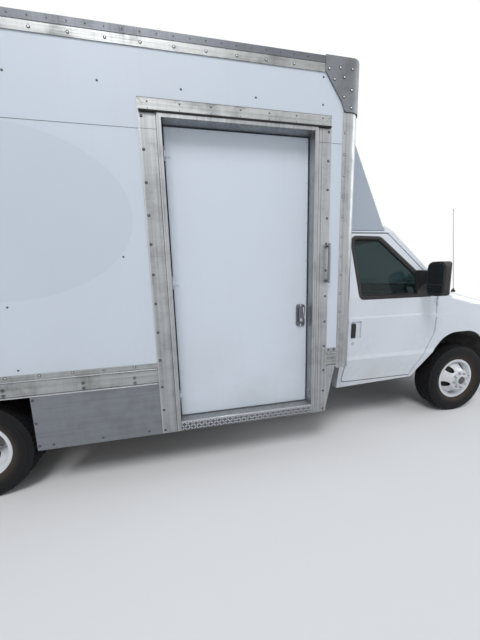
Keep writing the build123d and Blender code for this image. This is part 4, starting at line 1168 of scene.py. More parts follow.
def hex_bolt(radius: float, height: float, washer: float) -> Form:
    """Hexagonal head on a round washer, open below."""
    head = lathe([(radius, 0), (radius, height * 0.85), (radius * 0.86, height), (0, height)], 6)
    return head + lathe([(washer, 0), (washer, height * 0.18), (0, height * 0.18)], 16)


def screw(radius: float) -> Form:
    """Pan head with its wide flange."""
    return lathe([(radius * 1.5, -0.0003), (radius * 1.5, 0.0006), (radius, 0.0012), (radius * 0.9, 0.003),
                  (radius * 0.5, 0.0042), (0, 0.0044)], 14)


def lozenge(turn: float) -> Form:
    """Raised bar of tread plate: a low mound stretched to 29 by 9 mm and turned."""
    mound = lathe([(1.0, 0.0), (0.8, 0.0011), (0.45, 0.0017), (0.0, 0.0018)], 8)
    return Form(mound.points * np.array([0.0145, 0.0045, 1.0]), mound.quads, mound.tris).turned("Z", turn)


def ring_of(circle: float, count: int, first: float, y: float, x: float, z: float) -> Array:
    """Places round a wheel's axis: (x + c cos a, y, z + c sin a) for evenly spaced angles from the first."""
    a = math.radians(first) + np.arange(count) * 2 * np.pi / count
    return spots(x + circle * np.cos(a), y, z + circle * np.sin(a))


@dataclass
class Assembly:
    """Part of the truck that the scene builds or dresses."""

    shop: Workshop

    @property
    def layout(self) -> Layout:
        """The truck's layout."""
        return self.shop.layout

    def at(self, x: float) -> float:
        """Station counted from the front axle."""
        return self.shop.layout.at(x)

    def pair(self, name: str, right: Form, finish: str, body: Optional[str] = None, slot: Optional[str] = None,
             smooth: float = SHARP) -> None:
        """Make a right piece and its mirror image.

        Args:
            name: of both; each side adds its ending.
            right: the right piece's mesh in the row frame.
            finish: name of a finish.
            body: start of the name of each side's own body, or None for the root.
            slot: handed on to Workshop.make.
            smooth: edges sharper than this many degrees stay sharp.
        """
        for side in Side:
            rides = "root" if body is None else f"{body}_{side.suffix}"
            self.shop.make(f"{name}_{side.suffix}", side.of(right), finish, rides, slot, smooth)

    def build(self) -> None:
        """Make and dress the pieces."""
        raise NotImplementedError


@dataclass
class Tyres(Assembly):
    """Road tyres with grooved tread that take the place of the plain ones.

    Attributes:
        pitches: tread blocks round the tyre.
        lines: offsets of the grooves from the middle plane.
        groove: width of a groove.
        depth: of a groove.
        notch: depth of the shoulder notches.
        zigzag: how far the grooves sway.
        crown: how fast the tread falls away from the middle.
        front_planes: Y of the right front tyre's middle.
        rear_planes: Y of the right rear tyres' middles.
        wall: rows of offset from the middle plane and radius, from shoulder to bead.
    """

    pitches: int = 56
    lines: Floats = (0.019, 0.054)
    groove: float = 0.009
    depth: float = 0.0095
    notch: float = 0.006
    zigzag: float = 0.0035
    crown: float = 0.42
    front_planes: Floats = (-0.8815,)
    rear_planes: Floats = (-0.8215, -1.0935)
    wall: Rows = (
        (0.0945, 0.3625), (0.0995, 0.3500), (0.1045, 0.3350), (0.1060, 0.3292), (0.1080, 0.3284), (0.1086, 0.3262),
        (0.1078, 0.3240), (0.1092, 0.3160), (0.1108, 0.3000), (0.1111, 0.2880), (0.1102, 0.2740), (0.1085, 0.2652),
        (0.1094, 0.2636), (0.1082, 0.2612), (0.1062, 0.2600), (0.1030, 0.2500), (0.0975, 0.2400), (0.0915, 0.2325),
        (0.0892, 0.2302), (0.0886, 0.2275), (0.0850, 0.2247), (0.0770, 0.2227), (0.0757, 0.2200), (0.0757, 0.2033))

    def half_profile(self) -> Array:
        """Half of the tyre's section.

        Returns:
            Rows of offset, radius and shares of the zigzag and the notch, from the middle of the tread to the bead.
        """
        g = self.groove / 2
        rows = [(0.0, 0.0, 1, 0)]
        for c in self.lines:
            rows += [(c - g, 0, 1, 0), (c - g + 0.0015, self.depth, 1, 0),
                     (c + g - 0.0015, self.depth, 1, 0), (c + g, 0, 1, 0)]
        rows += [(0.0690, 0, 0, 0), (0.0705, 0, 0, 1), (0.0870, 0, 0, 1), (0.0915, 0.0006, 0, 1),
                 (0.0932, 0.0024, 0, 0)]
        tread = np.array(rows, float)
        tread[:, 1] = self.layout.tyre_r - self.crown * tread[:, 0] ** 2 - tread[:, 1]
        return np.vstack([tread, np.column_stack([np.array(self.wall), np.zeros((len(self.wall), 2))])])

    def form(self, x: float, y: float) -> Form:
        """Tyre about an axis parallel to Y.

        Each pitch has five angles. The offset of a row at angle a is its own plus its zigzag share of a triangle
        wave of the pitch; its radius is its own less its notch share where the pitch is notched.

        Args:
            x: of the axis.
            y: of the tyre's middle plane.

        Returns:
            The tyre.
        """
        share = np.array([0.0, 0.05, 0.30, 0.35, 0.68])
        cut = np.array([0.0, 1.0, 1.0, 0.0, 0.0])
        a = ((np.arange(self.pitches)[:, None] + share) / self.pitches * 2 * np.pi).ravel()
        notched = np.tile(cut, self.pitches)
        sway = np.tile(1 - 4 * np.abs(share - 0.5), self.pitches) * self.zigzag
        half = self.half_profile()
        rows = np.vstack([half[::-1], half[1:] * np.array([-1, 1, 1, 1])])
        offset = rows[:, 0][None] + sway[:, None] * rows[:, 2][None]
        radius = rows[:, 1][None] - self.notch * notched[:, None] * rows[:, 3][None]
        across, up = radius * np.cos(a)[:, None], radius * np.sin(a)[:, None]
        return surface(np.stack([x + across, y + offset, self.layout.axle_z + up], -1), closed_u=True, closed_v=True)

    def build(self) -> None:
        """Make the tyres of each wheel body."""
        layout = self.layout
        sets = (("front_tyre", layout.axle_x, self.front_planes, "front_wheel", "front_rubber"),
                ("rear_tyres", layout.rear_x, self.rear_planes, "rear_wheels", "rear_rubber"))
        for name, x, planes, body, finish in sets:
            for side in Side:
                form = joined([self.form(x, -side.value * y) for y in planes])
                piece = self.shop.make(f"{name}_tread_{side.suffix}", form, finish, f"{body}_{side.suffix}",
                                       "tyre_rubber", 30)
                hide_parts(f"{name}_{side.suffix}")


@dataclass
class WheelHardware(Assembly):
    """Wheel nuts, hubs, axle flanges and valves, with the finish of the rims."""

    nut_circle: float = 0.08255
    nut_r: float = 0.0122
    nut_h: float = 0.018
    front_plane: float = -0.8815
    front_face: float = -1.0175
    rear_face: float = -0.9685
    hub_end: float = -1.0275
    hub_r: float = 0.0615
    valve_r: float = 0.172

    def nut(self) -> Form:
        """Flanged nut with the end of its stud.

        Returns:
            The form.
        """
        r, h = self.nut_r, self.nut_h
        body = lathe([(r, 0.0), (r, h * 0.82), (r * 0.84, h), (0.0, h)], 6)
        flange = lathe([(r * 1.3, 0.0), (r * 1.25, 0.003), (r * 0.9, 0.004), (0.0, 0.004)], 14)
        stud = lathe([(0.0068, h - 0.001), (0.0068, h + 0.004), (0.0055, h + 0.006), (0.0, h + 0.006)], 10)
        return body + flange + stud

    def valve(self) -> Form:
        """Valve stem with its cap."""
        return lathe([(0.004, -0.01), (0.004, 0.018), (0.005, 0.019), (0.005, 0.03), (0.003, 0.033), (0.0, 0.033)], 10)

    def build(self) -> None:
        """Dress the rims and make nuts, hub rings and valves."""
        x, z, rear = self.layout.axle_x, self.layout.axle_z, self.layout.rear_x
        self.shop.dress("front_wheel_paint", "front_rim_right", "front_rim_left")
        self.shop.dress("rear_wheel_paint", "rear_rims_right", "rear_rims_left")
        r = self.hub_r
        ring = lathe([(r, -0.004), (r, 0.0085), (r - 0.004, 0.0125), (0.046, 0.0125), (0.0425, 0.0095),
                      (0.042, 0.0008)], 40)
        cup = lathe([(0.0425, 0.0012), (0.030, 0.0006), (0.028, 0.0045), (0.0, 0.005)], 32)
        cup += hex_bolt(0.017, 0.0105, 0.021) + lathe([(0.008, 0.010), (0.008, 0.0135), (0.0, 0.014)], 12)
        # near-black plate behind each front disc: it stands for the brake shield, and its darkness paints the shade
        # seen through the hand holes
        shield_painted_shade = lathe([(0.0625, 0.096), (0.0625, 0.100), (0.122, 0.0865), (0.176, 0.0125), (0.172, 0.0105),
                        (0.119, 0.083)], 32, closed=True)
        flange = lathe([(0.058, -0.003), (0.058, 0.007), (0.055, 0.010), (0.030, 0.011), (0.024, 0.016),
                        (0.0, 0.017)], 40)
        a = np.arange(8) * np.pi / 4
        flange += hex_bolt(0.0075, 0.008, 0.010).repeated(spots(0.045 * np.cos(a), 0.045 * np.sin(a), 0.010))
        hub = [(x, self.hub_end, z)]
        front = ring_of(self.nut_circle, 8, 12, self.front_face, x, z)
        back = ring_of(self.nut_circle, 8, 20, self.rear_face, rear, z)
        for name, form, places, finish, body, slot in (
                ("front_wheel_nuts", self.nut(), front, "rivet_metal", "front_wheel", "bright_steel"),
                ("rear_wheel_nuts", self.nut(), back, "galvanized", "rear_wheels", "bright_steel"),
                ("front_hub_rings", ring, hub, "front_wheel_paint", "front_wheel", "wheel_steel"),
                ("front_hub_cups", cup, hub, "engine_iron", "front_wheel", "chassis_black"),
                ("front_brake_shields", shield_painted_shade, [(x, self.front_plane, z)], "seal_rubber", "front_wheel",
                 "chassis_black"),
                ("rear_axle_flanges", flange, [(rear, self.hub_end, z)], "rusty_hub", "rear_wheels", "chassis_black"),
                ("front_valves", self.valve(), [(x + self.valve_r, -0.9565, z + 0.02)], "galvanized", "front_wheel",
                 "bright_steel"),
                ("rear_valves", self.valve(), [(rear + self.valve_r, -1.118, z + 0.02)], "galvanized", "rear_wheels",
                 "bright_steel")):
            self.pair(name, facing(form, "-Y").repeated(places), finish, body, slot)


@dataclass
class Underside(Assembly):
    """Coil springs, spring clamps, frame bolts, hole rims over dark discs of painted shade, a brake line and tank
    straps, and the chassis's finish.
    """

    coil_r: float = 0.054
    wire_r: float = 0.0068
    coil_low: float = 0.419
    coil_high: float = 0.752
    turns: float = 8.5
    damper_y: float = -0.570
    rail_y: float = -0.434

    def coil(self) -> Form:
        """Spring: (r cos a, r sin a, z) for a over the turns, z rising slowly at both ends so that they close.

        Returns:
            The form.
        """
        t = np.linspace(0, 1, 200)
        a = t * self.turns * 2 * np.pi
        rise = np.interp(t, [0, 0.11, 0.89, 1.0], [0, 0.035, 0.965, 1.0])
        z = self.coil_low + (self.coil_high - self.coil_low) * rise
        return tube(np.stack([self.coil_r * np.cos(a), self.coil_r * np.sin(a), z], -1), self.wire_r, 8)

    def clamps(self) -> Form:
        """U-bolts over a rear spring: a round bar up, over and down.

        Returns:
            The form.
        """
        t = np.linspace(0, np.pi, 13)
        arch = np.stack([0 * t, -0.046 * np.cos(t), 0.50 + 0.046 * np.sin(t) * 0.5], -1)
        path = np.vstack([[0, -0.046, 0.30], arch, [0, 0.046, 0.30]])
        bar = tube(path, 0.008, 8)
        return bar.moved(x=-0.065) + bar.moved(x=0.065)

    def build(self) -> None:
        """Dress the chassis and make its small parts."""
        x, rear = self.layout.axle_x, self.layout.rear_x
        self.shop.dress("chassis_black", "frame_rails", "front_beams", "rear_axle", "leaf_springs", "knuckle_right",
                        "knuckle_left", "wheel_wells")
        self.shop.dress("engine_iron", "engine_block")
        self.shop.dress("black_plastic", "fuel_tank")
        self.shop.dress("exhaust_steel", "exhaust")
        black = "chassis_black"
        self.pair("coil_springs", self.coil().moved(x, self.damper_y), black, smooth=60)
        self.pair("spring_clamps", self.clamps().moved(rear, -0.4865), black)
        heads = facing(hex_bolt(0.009, 0.008, 0.014), "-Y")
        along = [v for c in (-0.28, -0.56, -0.83) for v in (c * 4.47 - 0.03, c * 4.47 + 0.03)]
        along += [-5.02, -4.96, -5.69, -5.63, 0.55, 0.49]
        grid = np.array([(self.at(a), self.rail_y, b) for a in along for b in (0.55, 0.63)])
        self.pair("frame_bolts", heads.repeated(grid), black)
        # each hole's rim closes over a dark disc, which paints the shade inside the hole
        hole = facing(lathe([(0.021, 0.0), (0.021, 0.0015), (0.017, 0.002), (0.0165, 0.0003), (0, 0.0003)], 18), "-Y")
        holes = spots(self.at(0) + np.arange(-5.9, -0.9, 0.31), self.rail_y, 0.60)
        self.pair("frame_hole_rims", hole.repeated(holes), "seal_rubber", slot=black)
        line = np.array([(-0.6, 0.665), (-1.4, 0.66), (-1.5, 0.64), (-3.4, 0.64), (-3.5, 0.62), (-4.2, 0.62)])
        path = np.column_stack([self.at(0) + line[:, 0], np.full(len(line), 0.441), line[:, 1]])
        self.shop.make("brake_line", tube(path, 0.004, 8), "galvanized")
        loop = rectangle(-0.345, 0.345, 0.412, 0.648, 0.06)
        straps = [rod_x(loop, self.at(c - 0.025), self.at(c + 0.025)) for c in (-5.16, -5.49)]
        self.shop.make("tank_straps", joined(straps), "galvanized")


@dataclass
class LoadBody(Assembly):
    """Rivets, screws, bolts, seams and trims of the load body, with painted highlights and shadows along its bottom
    rails and a painted cable shadow across its wall, and the finish of its panels.
    """

    rivet_r: float = 0.0068
    fine_r: float = 0.0045
    edging_r: float = 0.0032
    cap_r: float = 0.0080
    plate_y: float = -1.223  # outer face of the frame's plates and of the bottom rail's channel
    post_y: float = -1.222
    sheet_y: float = -1.219
    frame_rivets: Floats = (0.376, 0.548, 0.740, 0.958, 1.175, 1.392, 1.605, 1.820, 2.018, 2.234, 2.445, 2.651)
    top_pitch: float = 0.211
    post_pitch: float = 0.156
    rail_pitch: float = 0.2125
    bolt_pitch: float = 0.512
    rail_end: float = -3.20
    screw_pitch: float = 0.525
    # height of a dark line along the wall, a painted shadow of an overhead cable
    seam_z: float = 2.576
    trim_low: float = 3.112
    trim_out: float = 1.2275
    trim_t: float = 0.003
    cap_side: Rows = ((-1.79, 3.075), (-1.70, 3.09), (-1.60, 3.09), (-1.745, 3.01), (-1.665, 2.90),
                      (-1.60, 2.83), (-1.60, 2.95), (-1.665, 3.03))
    cap_front: Rows = ((-1.10, 3.09), (-1.10, 2.96), (-1.10, 2.84), (-1.13, 3.03), (-1.13, 2.90))

    def right_rivets(self) -> list:
        """Rivets of the doorway frame, its header, the skirt and the short rail ahead of the doorway.

        Returns:
            Rows of (places, direction, radius), as Workshop.rivets takes them.
        """
        at, wall = self.at, self.plate_y
        header = at(row(-3.108, -1.831, 7))
        short = at(np.array([-1.735, -1.683]))
        middle_row = at(row(-3.954, -3.275, 3))
        skirt_z = [0.383, 0.563, 0.739]
        plate = [spots(at(-3.151), wall, self.frame_rivets), spots(at(-1.778), wall, self.frame_rivets),
                 spots(header, wall, 2.742), spots(short, wall, 0.922)]
        skirt = [spots(at(-4.047), self.post_y, skirt_z), spots(middle_row, self.post_y, 0.383)]
        return [(np.vstack(plate), "-Y", self.rivet_r), (np.vstack(skirt), "-Y", self.rivet_r * 0.9),
                (spots(header, wall, 2.702), "-Y", self.fine_r)]

    def side_rivets(self, right: bool) -> list:
        """Rivets of a side's top rail, bottom rail, front post and corner cap.

        Args:
            right: the right side, whose bottom rail ends at the doorway.

        Returns:
            Rows of (places, direction, radius), as Workshop.rivets takes them.
        """
        at = self.at
        top = spots(at(np.arange(-6.286, -1.86, self.top_pitch)), -1.225, 3.078)
        rail = -3.341 + self.rail_pitch * np.arange(-13, 8)
        if right:
            rail = rail[rail < self.rail_end]
        low = spots(at(rail), self.plate_y, 0.922)
        post_z = np.arange(0.940, 2.70, self.post_pitch)
        post = spots(at(-1.638), self.post_y, post_z)
        caps, face = np.array(self.cap_side), np.array(self.cap_front)
        return [(np.vstack([top, low, post]), "-Y", self.rivet_r),
                (spots(at(-1.5075), -1.09, post_z), "+X", self.rivet_r),
                (spots(at(caps[:, 0]), -1.2302, caps[:, 1]), "-Y", self.cap_r),
                (spots(at(-1.4988), face[:, 0], face[:, 1]), "+X", self.cap_r)]

    def bolts(self, right: bool) -> Form:
        """Pairs of bolts in the channel of the bottom rail.

        Args:
            right: the right side, with a last pair by the doorway.

        Returns:
            The bolts, on the right side.
        """
        pitch = -3.706 + self.bolt_pitch * np.arange(-5, 5)
        if right:
            pitch = np.append(pitch[pitch < self.rail_end - 0.2], -3.348)
        head = facing(hex_bolt(0.0085, 0.007, 0.013), "-Y")
        return head.repeated(np.vstack([spots(self.at(pitch), self.plate_y, z) for z in (0.797, 0.837)]))

    def rail_strips(self, right: bool, heights: Rows, y: float) -> Form:
        """Strips along a side's bottom rail: light ones paint highlights and dark ones paint shadow.

        Args:
            right: the right side, where the doorway parts them.
            heights: lower and upper edge of each strip.
            y: their outer faces.

        Returns:
            The strips, on the right side.
        """
        runs = ((-6.305, -3.177), (-1.753, -1.663)) if right else ((-6.305, -1.663),)
        return joined([block((self.at(x0), y, z0), (self.at(x1), y + 0.002, z1), 0.0004)
                       for x0, x1 in runs for z0, z1 in heights])

    def screws(self, right: bool) -> tuple:
        """Panel screws in a row under the top rail and lower down the wall.

        Args:
            right: the right side, whose lower screws stand where the photo shows them.

        Returns:
            One row of (places, direction, radius), as Workshop.rivets takes it.
        """
        xs = np.arange(-6.03, -1.70, self.screw_pitch)
        places = spots(self.at(xs), self.sheet_y, 2.836)
        if right:
            more = [(-3.346, 1.736), (-4.107, 1.414), (-4.105, 0.971), (-1.830, 3.022), (-4.63, 1.414), (-5.155, 1.414),
                    (-5.68, 1.414), (-4.63, 0.971), (-5.155, 0.971), (-5.68, 0.971)]
        else:
            more = [(x, z) for z in (1.414, 0.971) for x in xs]
        more = np.array(more)
        return np.vstack([places, spots(self.at(more[:, 0]), self.sheet_y, more[:, 1])]), "-Y", 0.005

    def roof_trim(self) -> Form:
        """Dark edging over a side's top rail.

        Returns:
            An L along the truck, whose flange lies on the rail's upper face.
        """
        w, t, low, top = self.trim_out, self.trim_t, self.trim_low, self.layout.body_top
        section = [(-w, low), (-w + t - 0.0006, low), (-w + t - 0.0006, top + 0.0002), (-w + 0.035, top + 0.0002),
                   (-w + 0.035, top + t), (-w + 0.002, top + t), (-w, top + t - 0.002)]
        return rod_x(section, self.at(-6.306), self.at(-1.80))

    def seams(self, right: bool) -> Form:
        """Thin raised dark line along the wall, which is a painted shadow of an overhead cable, and the joints between
        the wall's sheets.

        Args:
            right: the right side, where the line also crosses the doorway's frame.

        Returns:
            The lines, on the right side.
        """
        at, z = self.at, self.seam_z
        end = -3.18 if right else -1.665
        lines = block((at(-6.305), -1.2202, z - 0.0015), (at(end), -1.2185, z + 0.0015), 0.0005)
        if right:
            for x0, x1, y in ((-3.174, -3.062, -1.2238), (-1.855, -1.756, -1.2238), (-1.75, -1.665, -1.2202)):
                lines += block((at(x0), y, z - 0.0015), (at(x1), y + 0.0015, z + 0.0015), 0.0005)
        for x in (-5.155, ) + (() if right else (-3.55, -2.35)):
            lines += block((at(x) - 0.001, -1.2199, 0.94), (at(x) + 0.001, -1.2185, 3.05), 0.0004)
        return lines

    def lashing_rails(self, right: bool) -> Form:
        """Lashing rails on a load-space wall: two hat sections with raised rims round their slots.

        Args:
            right: the right wall, whose rails stop at the doorway.

        Returns:
            The rails, on the right side.
        """
        section = [(-1.177, -0.062), (-1.171, -0.050), (-1.171, 0.050), (-1.177, 0.062), (-1.181, 0.062),
                   (-1.181, -0.062)]
        slot = band(rectangle(-0.03, 0.03, -0.012, 0.012, 0.01, 3), -0.003, 0.001, flat_y(-1.1708, way=1.0), 0.002)
        pieces = []
        for z in (1.25, 1.95):
            for x0, x1 in ((-6.28, -3.10), (-1.84, -1.62)) if right else ((-6.28, -1.62),):
                pieces.append(rod_x([(y, z + h) for y, h in section], self.at(x0), self.at(x1)))
                xs = self.at(np.arange(x0 + 0.06, x1 - 0.04, 0.10))
                pieces.append(slot.inside_out().repeated(spots(xs, 0.0, z)))
        return joined(pieces)

    def build(self) -> None:
        """Dress the body's nodes and make its small parts."""
        shop, at = self.shop, self.at
        shop.dress("body_paint", "box_side_right", "box_side_left", "box_front_wall", "box_roof")
        shop.dress("mill_aluminium", "corner_posts", "side_door_frame", "step_well")
        shop.dress("rail_aluminium", "top_rails", "bottom_rails")
        shop.dress("cap_casting", "corner_caps")
        shop.dress("dull_aluminium", "skirt_panels", "grab_handle")
        shop.dress("floor_wood", "box_floor")
        # the doorway frame's rivet heads take the dark edge finish, a darker copy of the rivet metal: painted shade
        shop.rivets("doorway_rivets", self.right_rivets(), heads="edge_trim")
        for side in Side:
            right = side is Side.RIGHT
            shop.rivets(f"body_rivets_{side.suffix}", self.side_rivets(right), mirror=not right)
            edging = spots(at(np.arange(-6.286, -1.86, self.top_pitch / 2)), -self.trim_out, 3.136)
            shop.rivets(f"panel_screws_{side.suffix}", [self.screws(right), (edging, "-Y", self.edging_r)],
                        mirror=not right, heads="edge_trim")
            # light strips on the lips' faces are a painted highlight, and dark strips just under each lip are a painted
            # shadow
            lip_highlights = self.rail_strips(right, ((0.7722, 0.7798), (0.8912, 0.8968)), -1.2359)
            joints = self.rail_strips(right, ((0.7798, 0.7835), (0.883, 0.891)), -1.2238)
            for name, form, finish in (
                    ("rail_bolts", self.bolts(right), "engine_iron"), ("panel_seams", self.seams(right), "edge_trim"),
                    ("rail_lips", lip_highlights, "rivet_metal"), ("rail_joints", joints, "edge_trim")):
                shop.make(f"{name}_{side.suffix}", side.of(form), finish, slot="mill_aluminium")
        self.pair("roof_edging", self.roof_trim(), "edge_trim", slot="cap_casting")
        for side in Side:
            rails = side.of(self.lashing_rails(side is Side.RIGHT))
            shop.make(f"lashing_rails_{side.suffix}", rails, "galvanized")


@dataclass
class SideDoorway(Assembly):
    """Tread plate, rain strip, seals and rivets of the side doorway."""

    sill: tuple[float, float] = (-3.025, -1.895)
    plate_low: float = 0.352
    plate_high: float = 0.428
    plate: float = -1.2225
    header: tuple[float, float] = (-3.1725, -1.7575)
    header_z: tuple[float, float] = (2.6900, 2.7635)

    def tread(self, length: float, width: float, pitch: float = 0.0235) -> Form:
        """Tread bars over a rectangle, turned to left and right by turns like a chessboard.

        Args:
            length: along X from the origin.
            width: along Y from the origin.
            pitch: from bar to bar.

        Returns:
            The bars.
        """
        i, j = np.meshgrid(np.arange(int(length / pitch)), np.arange(max(1, int(width / pitch))), indexing="ij")
        x = (i.ravel() + 0.5) * length / (i.max() + 1)
        y = (j.ravel() + 0.5) * width / (j.max() + 1)
        even = (i.ravel() + j.ravel()) % 2 == 0
        return (lozenge(45).repeated(spots(x[even], y[even], 0.0))
                + lozenge(-45).repeated(spots(x[~even], y[~even], 0.0)))

    def frame_lines(self) -> None:
        """Raised edges of the frame's extrusions, in a lighter metal that paints a highlight on them, and the dark
        joints beside them.
        """
        def upright(x: float, y: float, width: float) -> Form:
            """Strip up the frame, from a station."""
            return block((self.at(x), y, self.plate_low), (self.at(x) + width, self.plate, 2.674), 0.0004)

        # the raised edges are real, but their lighter metal is a painted highlight
        ribs = [upright(x, -1.2245, 0.0045) for x in (-3.0535, -1.8665, -1.7585, -3.1715)]
        joints = [upright(x, -1.2236, 0.0025) for x in (-3.060, -1.860, -1.835)]
        top = self.header_z[1]
        joints.append(block((self.at(self.header[0] - 0.001), -1.2236, top),
                            (self.at(self.header[1] + 0.001), self.plate, top + 0.0025), 0.0004))
        self.shop.make("frame_ribs", joined(ribs), "rivet_metal", slot="mill_aluminium")
        self.shop.make("frame_joints", joined(joints), "seal_rubber", slot="mill_aluminium")

    def handle(self) -> None:
        """Rolled edge of the paddle, the lock under it and the bezel's screws."""
        x, y = self.at(-1.940), -1.1515
        t = np.linspace(0, 1, 9)
        edge = np.stack([x + 0.010 * t ** 2, y - 0.004 * np.sin(np.pi * t), 1.300 - 0.100 * t], -1)
        self.shop.make("paddle_lip", tube(edge, 0.0042, 8), "bright_steel", "side_door", "bright_steel", 60)
        lock = facing(lathe([(0.013, 0.0), (0.013, 0.004), (0.0115, 0.0055), (0.008, 0.0055), (0.007, 0.003),
                             (0, 0.003)], 20), "-Y").moved(self.at(-1.961), -1.1508, 1.188)
        self.shop.make("paddle_lock", lock, "galvanized", "side_door", "galvanized")
        heads = facing(screw(0.0042), "-Y").repeated(spots(self.at(-1.961), -1.1408, [1.1425, 1.3145]))
        self.shop.make("paddle_screws", heads, "bright_steel", "side_door", "galvanized")

    def build(self) -> None:
        """Make the doorway's small parts."""
        shop, at = self.shop, self.at
        x0, x1 = self.sill
        length = x1 - x0
        face = facing(self.tread(length, self.plate_high - self.plate_low), "-Y").moved(at(x0), -1.2272, self.plate_low)
        plate = block((at(x0), -1.2274, self.plate_low), (at(x1), self.plate, self.plate_high), 0.0015)
        nosing = block((at(x0), -1.2290, 0.4215), (at(x1), -1.2240, 0.4335), 0.002)
        shop.make("sill_tread_plate", plate, "edge_trim", slot="mill_aluminium", smooth=50)
        shop.make("sill_tread_bars", face + nosing, "rivet_metal", slot="mill_aluminium", smooth=50)
        steps = self.tread(length + 0.05, 0.19).moved(at(x0) - 0.025, -1.083, 0.4302)
        steps += self.tread(length + 0.05, 0.19).moved(at(x0) - 0.025, -0.893, 0.6652)
        sill = self.tread(length, 0.13).moved(at(x0), -1.215, 0.4302)
        shop.make("step_tread", steps + sill, "mill_aluminium", smooth=50)
        low, high = self.header_z
        strip = rod_x([(-1.2380, 2.6765), (self.plate, 2.6765), (self.plate, low), (-1.2380, 2.6870)],
                      at(-3.166), at(-1.764))
        shop.make("door_rain_strip", strip, "seal_rubber", slot="black_plastic")
        cover = block((at(self.header[0]), -1.2238, low), (at(self.header[1]), -1.2228, high), 0.0003)
        shop.make("header_cover", cover, "rail_aluminium", slot="mill_aluminium")
        mitre = block((-0.0008, -1.2243, 0.0), (0.0008, -1.2232, 0.052), 0.0003)
        mitres = [mitre.turned("Y", turn).moved(at(x), 0.0, 2.7255) for turn, x in ((-45, -3.136), (45, -1.794))]
        shop.make("header_mitres", joined(mitres), "seal_rubber", slot="mill_aluminium")
        ring = rectangle(x0 + 0.003, x1 - 0.003, 0.433, 2.647, 0.012, 4)
        seal = band(ring, -0.014, 0.0025, flat_y(-1.1, at(0)), 0.006)
        shop.make("side_door_seal", seal, "seal_rubber", slot="black_plastic")
        door_z = row(0.47, 2.61, 15)
        shop.rivets("side_door_rivets", [(spots(at(x1 - 0.019), -1.129, door_z), "-Y", 0.005)], "side_door")
        edging = band(rectangle(x0 + 0.0085, x1 - 0.0085, 0.4385, 2.6415, 0.0), -0.022, -0.0004,
                      flat_y(-1.1288, at(0)), 0.0012)
        shop.make("side_door_edging", edging, "door_paint", "side_door", "body_paint")
        jamb_z = np.arange(0.55, 2.6, 0.213)
        shop.rivets("jamb_rivets", [(spots(at(x), -1.175, jamb_z), way, 0.0055)
                                    for x, way in ((x1 - 0.0002, "-X"), (x0 + 0.0002, "+X"))])
        self.frame_lines()
        self.handle()
        inner = block((at(-2.02), -1.0945, 1.17), (at(-1.93), -1.080, 1.29), 0.006)
        lever = block((at(-1.995), -1.081, 1.20), (at(-1.955), -1.060, 1.26), 0.008)
        shop.make("side_door_inner_latch", inner + lever, "galvanized", "side_door", "galvanized")
        shop.dress("door_paint", "side_door")
        shop.dress("handle_steel", "side_door_handle")


